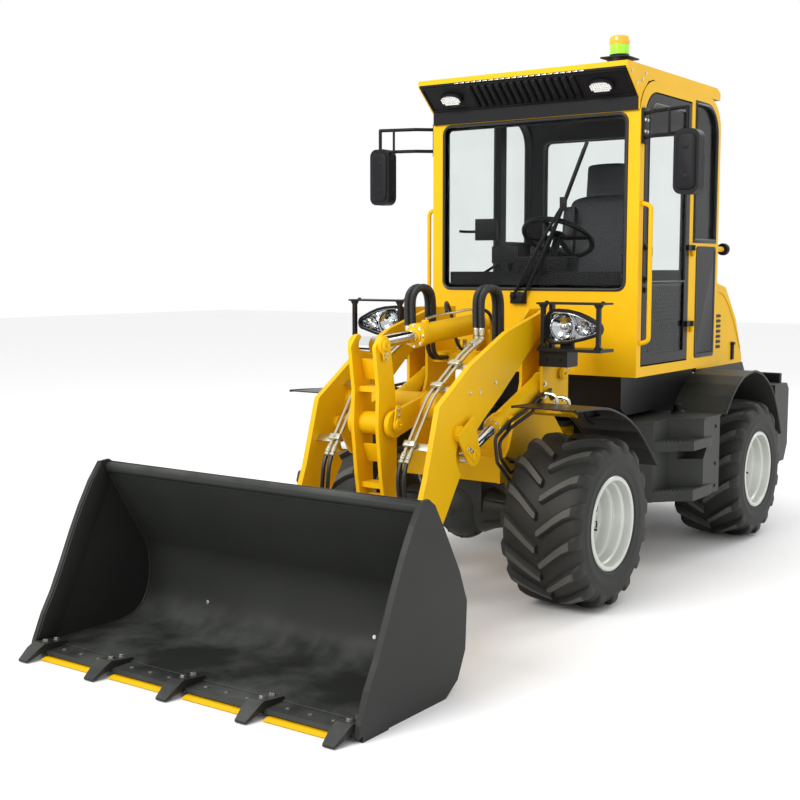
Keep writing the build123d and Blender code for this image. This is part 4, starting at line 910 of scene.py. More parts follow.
class LOADER_OT_tower_hoses(bpy.types.Operator):
    """Ribbed hose arches over the tower with their fittings, and the tilt cylinder's hoses"""

    bl_idname = "loader.tower_hoses"
    bl_label = "Tower hoses"

    def execute(self, context):
        pitch = context.scene.loader_sizes.sleeve_pitch
        settle([sleeve("arch_sleeve", [
            (0.035, y, 1.180), (0.035, y, 1.300), (0.040, y, 1.425), (0.125, y, 1.455),
            (0.208, y, 1.420), (0.212, y, 1.330), (0.206, y, 1.262),
        ], 0.0165, pitch) for y in HOSE_YS], "front_body", hose_rubber, both=True, smooth=50)
        fittings_at("arch_fittings", "front_body", 0.0115, [
            standing(at(0.206, side, 1.266), Vector((-0.05, 0, -1)))
            for y in HOSE_YS for side in (y, -y)])
        # Lines from the valve under the cab to the tilt cylinder, beside its barrel.
        settle([
            tube("feed", [(-0.160, 0.110, 1.125), (-0.090, 0.115, 1.145), (-0.060, 0.118, 1.240),
                          (-0.020, 0.112, 1.330), (0.030, 0.090, 1.345), (0.060, 0.066, 1.325)],
                 0.0085),
            tube("feed", [(-0.160, -0.110, 1.125), (-0.080, -0.112, 1.150),
                          (-0.055, -0.116, 1.280), (0.010, -0.110, 1.375),
                          (0.070, -0.082, 1.370), (0.090, -0.062, 1.330)], 0.0085),
        ], "front_body", hose_rubber, "tilt_feed_hoses")
        # Bulkhead plate with its row of couplings.
        shelf = block("bulkhead", (0.060, 0.34, 0.010), at(-0.150, 0, 1.130))
        settle(shelf, "front_body", yellow, bevel=0.002)
        fittings_at("bulkhead_couplings", "front_body", 0.009, [
            standing(at(-0.150, y, 1.135), Z_AXIS) for y in (-0.150, -0.110, 0.110, 0.150)])
        return {"FINISHED"}


CYLINDERS = (
    # name, body, base and eye as (x, z), y, radius of barrel and rod, where the barrel ends
    ("lift", "lift_barrels", (-0.220, 1.040), (0.520, 0.735), LOADER_Y, 0.040, 0.024, 0.560),
    ("tilt", "tilt_barrel", (-0.200, 1.280), (0.790, 1.210), 0.0, 0.048, 0.028, 0.650),
)


class LOADER_OT_cylinders(bpy.types.Operator):
    """Glands, seams, ports and bolts on the hydraulic cylinders, and the tilt cylinder's pipe"""

    bl_idname = "loader.cylinders"
    bl_label = "Cylinders"

    def execute(self, context):
        for name, body, base, eye, y, radius, rod, end in CYLINDERS:
            start = at(base[0], y, base[1])
            line = standing(start, (at(eye[0], y, eye[1]) - start).normalized())
            gland = turned("gland", [
                (radius + 0.0045, end - 0.062), (radius + 0.0065, end - 0.058),
                (radius + 0.0065, end - 0.030), (radius + 0.002, end - 0.027),
                (radius + 0.0075, end - 0.024), (radius + 0.0075, end - 0.002),
                (radius + 0.004, end + 0.002), (rod + 0.010, end + 0.003),
                (rod + 0.0095, end + 0.010), (rod + 0.003, end + 0.012),
            ], 40)
            seam = turned("seam", [(radius + 0.001, 0.080), (radius + 0.004, 0.084),
                                   (radius + 0.004, 0.090), (radius + 0.001, 0.094)], 40)
            outward = spun(90, "Y") if y else spun(-90, "X")
            ports = [turned("port", [(0.017, radius - 0.006), (0.017, radius + 0.012),
                                     (0.0155, radius + 0.014)], 24, moved(0, 0, along) @ outward)
                     for along in (0.115, end - 0.090)]
            settle([gland, seam] + ports, body, yellow, f"{name}_gland", line, both=y > 0,
                   smooth=30)
            studs = [((line @ spot).to_translation(), line.to_3x3() @ Z_AXIS)
                     for spot in round_about(8, radius - 0.001, end + 0.002)]
            bolted(f"{name}_gland_bolts", body, in_pairs(studs) if y else studs,
                   (0.012, 0.007, 0.0075))
        # The last line is the tilt cylinder's: a steel pipe from its rear port to the front one.
        settle(tube("tilt_pipe", [
            (0.0, 0.060, 0.120), (0.0, 0.074, 0.150), (0.012, 0.074, 0.330), (0.0, 0.074, 0.500),
            (0.0, 0.066, 0.552)], 0.006, place=line), "tilt_barrel", zinc)
        return {"FINISHED"}


PIN_RADIUS = 0.026
PIN_PLATES = (
    # body, x, y of the plate's back, z, plate length, turn in degrees
    ("boom", 0.745, 0.1165, 0.870, 0.098, 90.0),
    ("boom", 0.520, 0.3645, 0.735, 0.090, 30.0),
    ("front_body", -0.200, 0.3970, 1.280, 0.090, 150.0),
    ("front_body", -0.220, 0.3970, 1.040, 0.090, 150.0),
    ("bucket", 0.990, 0.3655, 0.200, 0.086, 60.0),
    ("bell_crank", 0.790, 0.0840, 1.210, 0.080, 270.0),
    ("bell_crank", 0.698, 0.0800, 0.341, 0.080, 90.0),
)


class LOADER_OT_pins(bpy.types.Operator):
    """Pins' heads with their keeper plates, nipples and bolts, on both sides"""

    bl_idname = "loader.pins"
    bl_label = "Pins"

    def execute(self, context):
        corner = PIN_RADIUS * 0.9
        for index, (body, x, y, z, length, turn) in enumerate(PIN_PLATES):
            place = put(x, y, z) @ spun(-90, "X") @ spun(-turn, "Z")
            keeper = plate("keeper", arc_points((0, 0), PIN_RADIUS + 0.008, 110, 250, 8)
                           + [(length - corner, -0.016), (length - corner * 0.6, -0.010),
                              (length - corner * 0.6, 0.010), (length - corner, 0.016)], 0.006)
            head = turned("head", [(PIN_RADIUS, -0.006), (PIN_RADIUS, 0.010),
                                   (PIN_RADIUS - 0.003, 0.013), (0.008, 0.013), (0.007, 0.010)])
            nipple = turned("nipple", [(0.005, 0.010), (0.005, 0.016), (0.0035, 0.018),
                                       (0.0045, 0.021), (0.003, 0.023)], 10)
            settle([keeper, head, nipple], body, yellow, f"pin_keeper_{index}", place, both=True,
                   bevel=0.0012, smooth=30)
            spots = [(place @ Vector((length * share, 0, 0.006)), Y_AXIS) for share in (0.42, 0.68)]
            bolted(f"pin_bolts_{index}", body, spots, (0.016, 0.008, 0.010), both=True)
        return {"FINISHED"}


LAMP_X = -0.108
# A drop, square at its inner end: two corners, the lower edge, the tip and the upper edge.
LAMP_OUTLINE = (
    arc_points((0.460, 1.296), 0.044, 90, 180, 8) + arc_points((0.458, 1.240), 0.042, 180, 270, 8)
    + [(0.520, 1.202), (0.575, 1.214)] + arc_points((0.638, 1.262), 0.030, -62, 62, 10)
    + [(0.600, 1.313), (0.560, 1.327), (0.515, 1.336)]
)


class LOADER_OT_headlamps(bpy.types.Operator):
    """Drop-shaped headlamps: shell, bezel, bright bowls, bulbs and clear cover, and their guards'
    bolts and feet
    """

    bl_idname = "loader.headlamps"
    bl_label = "Headlamps"

    def execute(self, context):
        shell = plate("headlamp_shells", LAMP_OUTLINE, 0.074)
        inset_top(shell, (0.006, 0.002), (0.0015, -0.030))
        with editing(shell):
            select_faces(shell, lambda normal: normal.z < -0.9)
            bpy.ops.transform.resize(value=(0.82, 0.8, 1), center_override=(0.55, 1.265, 0))
        shell.data.materials.append(black_plastic.material())
        shell.data.materials.append(reflector.material())
        for face in shell.data.polygons:
            if face.normal.z > 0.5 or face.center.z > 0.0745:
                face.material_index = 1
        stem = block("stem", (0.060, 0.050, 0.032), (0.500, 1.186, 0.040), (0.006, 0.0))
        stem.data.materials.append(black_plastic.material())
        made = settle([shell, stem], "front_body", None, place=front_place(LAMP_X), both=True,
                      bevel=0.001, smooth=30)
        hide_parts("headlights")
        wide = [(0.545 + 1.10 * (y - 0.545), 1.268 + 1.16 * (z - 1.268)) for y, z in LAMP_OUTLINE]
        bezel = plate("headlamp_bezels", wide, 0.050, front_place(LAMP_X + 0.030), border=0.0125)
        settle(bezel, "front_body", black_plastic, both=True, bevel=0.003, smooth=40)
        bowls = []
        for y, z, radius, segments in ((0.486, 1.268, 0.062, 20), (0.594, 1.264, 0.034, 14),
                                       (0.640, 1.262, 0.0165, 10)):
            place = moved(y, z, 0.047)
            bowls.append(turned("bowl", [
                (radius, -0.002), (radius, 0.026), (radius * 0.96, 0.028), (radius * 0.86, 0.020),
                (radius * 0.7, 0.012), (radius * 0.45, 0.005), (radius * 0.2, 0.002),
            ], segments, place))
            bowls.append(turned("bulb", [
                (radius * 0.16, 0.0), (radius * 0.16, 0.012), (radius * 0.2, 0.015),
                (radius * 0.14, 0.021), (radius * 0.05, 0.023),
            ], 12, place))
        bowls.append(plate("divider", arc_points((0.486, 1.268), 0.068, -48, 48, 8)
                           + arc_points((0.486, 1.268), 0.063, 48, -48, 8), 0.026,
                           moved(0, 0, 0.048)))
        settle(bowls, "front_body", reflector, "headlamp_reflectors", front_place(LAMP_X),
               both=True, smooth=12)
        cover = plate("headlamp_covers", LAMP_OUTLINE, 0.0025)
        with editing(cover):
            bpy.ops.transform.resize(value=(0.93, 0.88, 1), center_override=(0.55, 1.2665, 0))
        inset_top(cover, (0.010, 0.002), (0.016, 0.001))
        settle(cover, "front_body", lens, place=front_place(-0.0365), both=True, smooth=40)
        # Bolts and feet of the lamp guards.
        spots = ([(at(-0.010, y, 1.120), X_AXIS) for y in (0.42, 0.49)]
                 + [(at(-0.050, y, 1.381), Z_AXIS) for y in (0.40, 0.685)])
        bolted("guard_bolts", "front_body", spots, (0.016, 0.007, 0.010), black_plastic, both=True)
        feet = [plate("foot", [(-0.022, 0), (0.022, 0), (0.010, 0.018), (-0.010, 0.018)], 0.018,
                      front_place(-0.019) @ moved(y, z, 0) @ spun(turn, "Z"))
                for y in (0.404, 0.685) for z, turn in ((1.1725, 0), (1.3715, 180))]
        settle(feet, "front_body", black_paint, both=True, bevel=0.002)
        return {"FINISHED"}


VISOR_NORMAL = Vector((0.114, 0, -0.134)).normalized()


def on_visor(y, along, height=0.0):
    """A placement on the visor's sloping underside: across Y, up the slope, out of it."""
    up = VISOR_NORMAL.cross(Y_AXIS)
    place = at(-0.519, y, 2.421) + up * along + VISOR_NORMAL * height
    return Matrix.Translation(place) @ Matrix((
        (0, up.x, VISOR_NORMAL.x, 0), (1, up.y, VISOR_NORMAL.y, 0),
        (0, up.z, VISOR_NORMAL.z, 0), (0, 0, 0, 1)))


class LOADER_OT_visor(bpy.types.Operator):
    """Work lights and the ribbed underside of the roof's front"""

    bl_idname = "loader.visor"
    bl_label = "Visor and work lights"

    def execute(self, context):
        spots = [on_visor(0.43, 0), on_visor(-0.43, 0)]
        wide = Matrix.Scale(1.7, 4, X_AXIS)
        rim = turned("work_light_rims", [
            (0.034, 0.0), (0.040, 0.006), (0.040, 0.021), (0.0385, 0.0255), (0.0355, 0.0255),
            (0.0345, 0.014)], 48, wide)
        made = settle(repeated(rim, spots, "work_light_rims"), "rear_body", black_plastic)
        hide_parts("work_lights")
        back = turned("back", [(0.0352, 0.015), (0.0352, 0.018), (0.030, 0.0195), (0.015, 0.0205)],
                      36, wide)
        settle(repeated(back, spots, "work_light_backs"), "rear_body", reflector)
        prism = block("prism", (0.0105, 0.0092, 0.004), (0, 0, 0.0215), (0.0018, 0.0012))
        grid = [(x * 0.0122, y * 0.0112) for x in range(-4, 5) for y in range(-2, 3)]
        prisms = [spot @ moved(x, y, 0) for spot in spots for x, y in grid
                  if (x / 0.056) ** 2 + (y / 0.031) ** 2 < 1]
        settle(repeated(prism, prisms, "work_light_prisms"), "rear_body", lamp_white, smooth=20)
        rib = block("rib", (0.024, 0.142, 0.020), (0, 0, 0.002), (0.007, 0.004))
        ribs = [on_visor(-0.294 + 0.042 * index, 0.004) for index in range(15)]
        settle(repeated(rib, ribs, "visor_ribs"), "rear_body", black_plastic, bevel=0.0035,
               segments=3)
        border = plate("visor_border", rounded(-0.585, 0.585, -0.083, 0.083, 0.02), 0.006,
                       on_visor(0, 0), border=0.010)
        settle(border, "rear_body", black_plastic, bevel=0.002)
        # Row of small slots under the roof's lip.
        slot = block("slot", (0.003, 0.026, 0.004), field=(0.0008, 0.001))
        slots = [put(-0.449, -0.36 + 0.034 * index, 2.482) for index in range(22)]
        settle(repeated(slot, slots, "lip_slots"), "rear_body", bright_bolt, bevel=0.0006)
        return {"FINISHED"}


class LOADER_OT_roof_gear(bpy.types.Operator):
    """Beacon on its foot, roof ribs and bolts"""

    bl_idname = "loader.roof_gear"
    bl_label = "Roof gear"

    def execute(self, context):
        foot = block("beacon_foot", (0.150, 0.135, 0.008), at(-0.535, 0.515, 2.535),
                     (0.006, 0.001))
        settle(foot, "rear_body", black_plastic, bevel=0.002)
        stand = put(-0.520, 0.520, 2.534)
        cup = turned("beacon_cup", [(0.050, 0.0), (0.050, 0.010), (0.047, 0.013), (0.047, 0.016)],
                     48, stand)
        settle(cup, "rear_body", black_plastic)
        band = turned("beacon_band", [(0.0455, 0.014), (0.0465, 0.020), (0.0465, 0.060),
                                      (0.0455, 0.064)], 36, stand)
        settle(band, "rear_body", lime, smooth=5)
        cap = turned("beacon_cap", [(0.0475, 0.062), (0.049, 0.066), (0.049, 0.088),
                                    (0.046, 0.098), (0.038, 0.104), (0.030, 0.1055)], 48, stand)
        settle(cap, "rear_body", amber)
        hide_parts("beacon")
        rib = block("roof_rib", (0.86, 0.050, 0.012), (0, 0, 0.006), (0.012, 0.0))
        places = [put(-1.07, y, 2.5105) for y in (-0.40, -0.20, 0.0, 0.20, 0.40)]
        settle(repeated(rib, places, "roof_ribs"), "rear_body", yellow, bevel=0.005, segments=3)
        corners = [(at(x, y, 2.512), Z_AXIS) for x in (-0.56, -1.56) for y in (-0.30, 0.30)]
        bolted("roof_bolts", "rear_body", corners, (0.020, 0.009, 0.016))
        cheek = [(at(x, 0.596, z), Y_AXIS)
                 for x, z in ((-0.50, 2.47), (-0.56, 2.42), (-0.62, 2.44), (-0.66, 2.475))]
        bolted("cheek_bolts", "rear_body", cheek, (0.012, 0.005, 0.008), both=True)
        return {"FINISHED"}


WINDSCREEN = rounded(-0.530, 0.530, 1.430, 2.285, 0.040)
REAR_WINDOW = rounded(-0.480, 0.480, 1.520, 2.285, 0.040)
QUARTER_WINDOW = ([(-1.600, 1.690), (-1.300, 1.690), (-1.300, 2.400)]
                  + arc_points((-1.455, 2.255), 0.145, 90, 180, 8))
SIDE_WINDOW = ([(-0.650, 1.430), (-1.240, 1.430), (-1.240, 2.400)]
               + arc_points((-0.795, 2.255), 0.145, 90, 0, 8))


class LOADER_OT_windows(bpy.types.Operator):
    """Rubber seals round the glass, dark borders and the windscreen wiper"""

    bl_idname = "loader.windows"
    bl_label = "Windows"

    def execute(self, context):
        settle([
            seal("lip", WINDSCREEN, 0.0085, front_place(WINDSCREEN_X)),
            seal("lip", REAR_WINDOW, 0.0085, front_place(REAR_WINDOW_X)),
            seal("lip", QUARTER_WINDOW, 0.007, side_place(CAB_SIDE_Y)),
            seal("lip", QUARTER_WINDOW, 0.007, side_place(-CAB_SIDE_Y)),
            seal("lip", SIDE_WINDOW, 0.007, side_place(-CAB_SIDE_Y)),
        ], "rear_body", hose_rubber, "window_seals")
        border = plate("border", WINDSCREEN, 0.002, border=0.022)
        band = plate("band", [(-0.50, 1.44), (0.50, 1.44), (0.50, 1.520), (-0.50, 1.520)], 0.002)
        settle([border, band], "rear_body", black_plastic, "windscreen_border",
               front_place(WINDSCREEN_X - 0.0225))
        # Black panel under each quarter window, and the border round the window.
        panel = plate("quarter_panels", rounded(-1.612, -1.335, 1.055, 1.655, 0.020), 0.003)
        inset_top(panel, (0.020, 0.0), (0.003, -0.0014))
        around = plate("around", [(-1.616, 1.672), (-1.284, 1.672), (-1.284, 2.416)]
                       + arc_points((-1.455, 2.255), 0.161, 90, 180, 8), 0.002, border=0.018)
        settle([panel, around], "rear_body", black_paint, place=side_place(CAB_SIDE_Y + 0.0003),
               both=True, bevel=0.0008)
        self.wiper()
        return {"FINISHED"}

    def wiper(self):
        """A motor box, two arms and the blade on the glass."""
        pivots = ((-0.085, 1.395), (-0.035, 1.375))
        motor = block("motor", (0.030, 0.085, 0.060), at(-0.590, -0.060, 1.385), (0.006, 0.0))
        arms = [tube("arm", [(-0.580, y, z), (-0.577, y + 0.13, z + 0.24), (-0.580, 0.200, 1.860)],
                     0.0085) for y, z in pivots]
        grip = block("grip", (0.014, 0.036, 0.070), at(-0.584, 0.196, 1.858))
        caps = [turned("cap", [(0.015, 0), (0.015, 0.012), (0.010, 0.017)], 20,
                       standing(at(-0.578, y, z), X_AXIS)) for y, z in pivots]
        settle([motor, grip] + arms + caps, "rear_body", black_plastic, "wiper_arms", bevel=0.002)
        low, high = at(-0.592, 0.045, 1.500), at(-0.592, 0.320, 2.160)
        span = high - low
        settle([
            block("wiper_blade", (0.006, 0.020, span.length), (0, 0, span.length / 2)),
            block("rail", (0.012, 0.013, span.length * 0.9), (0.007, 0, span.length / 2)),
        ], "rear_body", black_plastic, bevel=0.001, place=Matrix.Translation(low)
            @ Matrix.Rotation(-math.atan2(span.y, span.z), 4, "X"))


LATTICE_PITCH = 0.026


class LOADER_OT_door(bpy.types.Operator):
    """Door's lattice panel with its bead, the glass's seal, the handle and the lock"""

    bl_idname = "loader.door"
    bl_label = "Door"

    def execute(self, context):
        # The strands cross the whole panel and are cut off at its borders.
        strands = [placed(block("strand", (0.0035, 0.9, 0.0035)),
                          moved(-0.28 + LATTICE_PITCH * index, 0.18, 0) @ spun(lean, "Z"))
                   for lean in (32, -32) for index in range(26)]
        lattice = joined(strands, "door_lattice")
        with editing(lattice):
            for spot, outward in (((0.005, 0, 0), -X_AXIS), ((0.469, 0, 0), X_AXIS),
                                  ((0, 0.004, 0), -Y_AXIS), ((0, 0.346, 0), Y_AXIS)):
                bpy.ops.mesh.select_all(action="SELECT")
                bpy.ops.mesh.bisect(plane_co=spot, plane_no=outward, use_fill=True,
                                    clear_outer=True)
        settle(lattice, "door", black_paint, place=side_place(0.5815) @ moved(-1.182, 1.105, 0))
        bead = plate("door_bead", rounded(-1.186, -0.704, 1.101, 1.459, 0.012), 0.006,
                     side_place(0.580), border=0.012)
        settle(bead, "door", black_paint, bevel=0.002)
        lip = seal("door_seal", [(-0.708, 1.470), (-1.182, 1.470), (-1.182, 2.342)]
                   + arc_points((-0.795, 2.255), 0.087, 90, 0, 8), 0.006, side_place(0.598))
        settle(lip, "door", hose_rubber)
        x, top, low = -0.685, 1.640, 1.480
        grip = tube("grip", [(x, 0.600, top), (x, 0.628, top - 0.004), (x, 0.630, 1.560),
                             (x, 0.628, low + 0.004), (x, 0.600, low)], 0.008)
        lock = turned("lock", [(0.014, 0), (0.014, 0.008), (0.011, 0.010), (0.004, 0.010),
                               (0.0035, 0.006)], 24, standing(at(x, 0.599, 1.430), Y_AXIS))
        roses = [turned("rose", [(0.018, 0), (0.018, 0.004), (0.014, 0.007)], 24,
                        standing(at(x, 0.599, z), Y_AXIS)) for z in (top, low)]
        settle([grip, lock] + roses, "door", black_plastic, "door_handle")
        return {"FINISHED"}


class LOADER_OT_mirrors(bpy.types.Operator):
    """Mirror glass, rims, backs, clamps and bolted bases"""

    bl_idname = "loader.mirrors"
    bl_label = "Mirrors"

    def execute(self, context):
        glass = plate("mirror_glass", rounded(0.824, 0.936, 1.888, 2.172, 0.034), 0.0015,
                      front_place(-0.5618))
        settle(glass, "rear_body", mirror_glass, both=True)
        rim = plate("mirror_rims", rounded(0.8185, 0.9415, 1.881, 2.179, 0.040), 0.006,
                    front_place(-0.564), border=0.007)
        back = plate("back", rounded(0.832, 0.928, 1.900, 2.160, 0.03), 0.006)
        inset_top(back, (0.014, 0.004))
        placed(back, front_place(-0.4905))
        clamps = [block("clamp", (0.034, 0.030, 0.026), at(-0.496, 0.880, z), (0.005, 0.0))
                  for z in (1.960, 2.100)]
        bar = tube("bar", [(-0.500, 0.790, 2.280), (-0.500, 0.790, 2.165)], 0.007)
        base = block("base", (0.060, 0.012, 0.170), at(-0.640, 0.606, 2.222), (0.006, 0.0))
        settle([rim, back, bar, base] + clamps, "rear_body", black_plastic, both=True, bevel=0.003)
        bolts = [(at(x, 0.612, z), Y_AXIS) for x in (-0.655, -0.625) for z in (2.250, 2.195)]
        bolted("mirror_bolts", "rear_body", bolts, (0.012, 0.006, 0.008), both=True)
        return {"FINISHED"}


def cushion(name, size, centre, turn=0.0, crown=0.12, waist=0.05):
    """A stuffed pad: a block divided, crowned in the middle, drawn in at its sides and rounded."""
    piece = block(name, (1, 1, 1))
    with editing(piece):
        bpy.ops.mesh.subdivide(number_cuts=5)
    for vertex in piece.data.vertices:
        u, v, w = vertex.co * 2
        full = (1 - u ** 4) * (1 - v ** 4)
        vertex.co.z += math.copysign(crown * full * 0.5, w) * abs(w)
        vertex.co.x *= 1 - waist * (1 - v * v) * (1 - abs(w) * 0.4)
        vertex.co.y *= 1 - waist * (1 - u * u) * (1 - abs(w) * 0.4)
    placed(piece, Matrix.Translation(centre) @ Matrix.Rotation(turn, 4, "Y")
           @ Matrix.Diagonal((*size, 1)))
    smooth = piece.modifiers.new("Smooth", "SUBSURF")
    smooth.levels = smooth.render_levels = 2
    bpy.ops.object.modifier_apply(modifier="Smooth")
    return piece


SEAT_LEAN = math.radians(-6)
CUSHION_TURN = 0.03


class LOADER_OT_interior(bpy.types.Operator):
    """Seat with its cushions, bellows and armrests, and the controls beside it"""

    bl_idname = "loader.interior"
    bl_label = "Interior"

    def execute(self, context):
        for name, size, centre, turn, fill in (
            ("seat_cushion", (0.400, 0.440, 0.120), at(-1.225, 0, 1.425), CUSHION_TURN, 0.9),
            ("seat_back", (0.105, 0.420, 0.470), at(-1.462, 0, 1.690), SEAT_LEAN, 0.8),
            ("seat_headrest", (0.085, 0.250, 0.190), at(-1.512, 0, 2.025), SEAT_LEAN, 0.8),
        ):
            pad = settle(cushion(name, size, centre, turn), "rear_body", vinyl, smooth=60)
            if name == "seat_back":
                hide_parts("seat")
        # Bolsters of the back and the cushion, and the armrests.
        wings = [
            cushion("seat_bolsters", size, at(x, hand * y, z), turn, crown=crown)
            for hand in (1, -1) for size, x, y, z, turn, crown in (
                ((0.120, 0.075, 0.400), -1.435, 0.195, 1.680, SEAT_LEAN, 0.05),
                ((0.340, 0.075, 0.100), -1.225, 0.200, 1.452, CUSHION_TURN, 0.05),
                ((0.300, 0.070, 0.055), -1.290, 0.275, 1.630, 0.0, 0.1),
            )]
        wings = settle(wings, "rear_body", vinyl, smooth=60)
        # The seat's frame, the headrest's posts, the base and the bellows' folds.
        settle([
            block("frame", (0.380, 0.400, 0.030), at(-1.270, 0, 1.352), (0.02, -0.004)),
            block("post", (0.020, 0.050, 0.120), at(-1.505, 0.06, 1.905)),
            block("post", (0.020, 0.050, 0.120), at(-1.505, -0.06, 1.905)),
            block("base", (0.360, 0.380, 0.060), at(-1.290, 0, 1.075), (0.02, 0.004)),
        ] + [block("fold", (0.330, 0.350, 0.032), at(-1.285, 0, 1.125 + 0.036 * index))
             for index in range(6)],
            "rear_body", black_plastic, "seat_suspension", bevel=0.010, segments=3)
        self.controls()
        return {"FINISHED"}

    def controls(self):
        """Side console with its lever, dash, two screens on stalks, and the steering wheel."""
        box = block("console", (0.420, 0.130, 0.350), at(-1.210, -0.400, 1.240), (0.02, -0.006))
        lever = turned("lever", [
            (0.034, 0), (0.026, 0.030), (0.011, 0.050), (0.011, 0.130), (0.020, 0.150),
            (0.023, 0.190), (0.018, 0.215), (0.008, 0.220),
        ], 24, standing(at(-1.080, -0.400, 1.412), Vector((0.15, 0.1, 1))))
        screens = [placed(block("screen", size), Matrix.Translation(spot)
                          @ Matrix.Rotation(0.2, 4, "Z"))
                   for spot, size in ((at(-0.760, -0.360, 1.745), (0.034, 0.120, 0.115)),
                                      (at(-0.780, -0.250, 1.610), (0.030, 0.150, 0.090)))]
        stalks = [tube("stalk", points, 0.008) for points in (
            [(-0.775, -0.360, 1.745), (-0.790, -0.450, 1.730), (-0.780, -0.545, 1.740)],
            [(-0.790, -0.250, 1.600), (-0.800, -0.330, 1.540), (-0.770, -0.545, 1.430)])]
        column = block("dash", (0.120, 0.300, 0.150), at(-0.790, 0, 1.520), (0.012, 0.003))
        settle([box, lever, column] + screens + stalks, "rear_body", black_plastic,
               "cab_controls", bevel=0.006, segments=3)
        # The steering wheel's grip round the console's rim, and its cap.
        wheel = standing(at(-0.900, 0, 1.700), Vector((-0.5, 0, 0.866)))
        section = arc_points((0.185, 0), 0.0145, 0, 360, 13)
        grip = turned("grip", section, 64, wheel, ring=True)
        cap = turned("cap", [(0.040, 0.006), (0.042, 0.012), (0.036, 0.022), (0.012, 0.026)],
                     place=wheel)
        settle([grip, cap], "rear_body", black_plastic, "wheel_grip", smooth=50)


class LOADER_OT_hood(bpy.types.Operator):
    """Hood's louvres, grille, latches, gutters and handle, and the tail lamps beside it"""

    bl_idname = "loader.hood"
    bl_label = "Hood"

    def execute(self, context):
        louvre = block("louvre", (0.230, 0.016, 0.012), field=(0.004, 0.003))
        placed(louvre, spun(-28, "X"))
        places = [put(-1.920, 0.474, 1.080 + 0.030 * index) for index in range(7)]
        places += [MIRRORED @ place for place in places]
        settle(repeated(louvre, places, "side_louvres"), "hood", black_plastic, bevel=0.002)
        # The grille lies in the hood's sloping back: across Y, down the slope, out of it.
        slope = Vector((-2.430 + 2.300, 0, 0.965 - 1.230)).normalized()
        outward = Y_AXIS.cross(slope)
        basis = Matrix(((0, -slope.x, outward.x, 0), (1, -slope.y, outward.y, 0),
                        (0, -slope.z, outward.z, 0), (0, 0, 0, 1)))
        grille = [plate("grille", rounded(-0.330, 0.330, -0.105, 0.105, 0.02), 0.010,
                        border=0.014)]
        grille += [block("bar", (0.620, 0.009, 0.010), (0, -0.083 + 0.0166 * index, 0.004))
                   for index in range(11)]
        grille += [block("bar", (0.008, 0.186, 0.008), (-0.22 + 0.11 * index, 0, 0.002))
                   for index in range(5)]
        settle(grille, "hood", black_plastic, "rear_grille", put(-2.365, 0, 1.0975) @ basis,
               bevel=0.0015)
        # Rubber latches with their keepers on both sides.
        latches = []
        for x in (-1.760, -2.240):
            latches.append(block("latch", (0.034, 0.014, 0.090), at(x, 0.480, 1.035)))
            latches.append(block("keeper", (0.044, 0.020, 0.018), at(x, 0.482, 1.087)))
        settle(latches, "hood", black_plastic, both=True, bevel=0.004)
        gutter = tube("hood_gutter", [(x, HOOD_SIDE_Y, z) for x, z in (
            (-1.690, 1.405), (-1.830, 1.409), (-1.960, 1.411), (-2.100, 1.388), (-2.285, 1.205),
            (-2.380, 1.050))], 0.005)
        settle(gutter, "hood", yellow, both=True)
        handle = tube("hood_handle", [(-2.395, -0.080, 1.010), (-2.425, -0.080, 1.020),
                                      (-2.428, 0, 1.022), (-2.425, 0.080, 1.020),
                                      (-2.395, 0.080, 1.010)], 0.008)
        settle(handle, "hood", black_plastic)
        # Tail lamps on their brackets behind the cab's upper corners.
        bracket = tube("tail_lamp_brackets", [(-1.640, 0.560, 1.645), (-1.720, 0.562, 1.645),
                                              (-1.800, 0.566, 1.645)], 0.015)
        settle(bracket, "rear_body", yellow, both=True)
        end = standing(at(-1.820, 0.567, 1.645), -X_AXIS)
        lamp = turned("tail_lamps", [(0.030, -0.022), (0.034, -0.016), (0.034, 0.010),
                                     (0.031, 0.014)], place=end)
        settle(lamp, "rear_body", black_plastic, both=True)
        light = turned("tail_lenses", [(0.0295, 0.012), (0.0295, 0.018), (0.024, 0.024),
                                       (0.010, 0.027)], place=end)
        settle(light, "rear_body", red_lens, both=True)
        return {"FINISHED"}


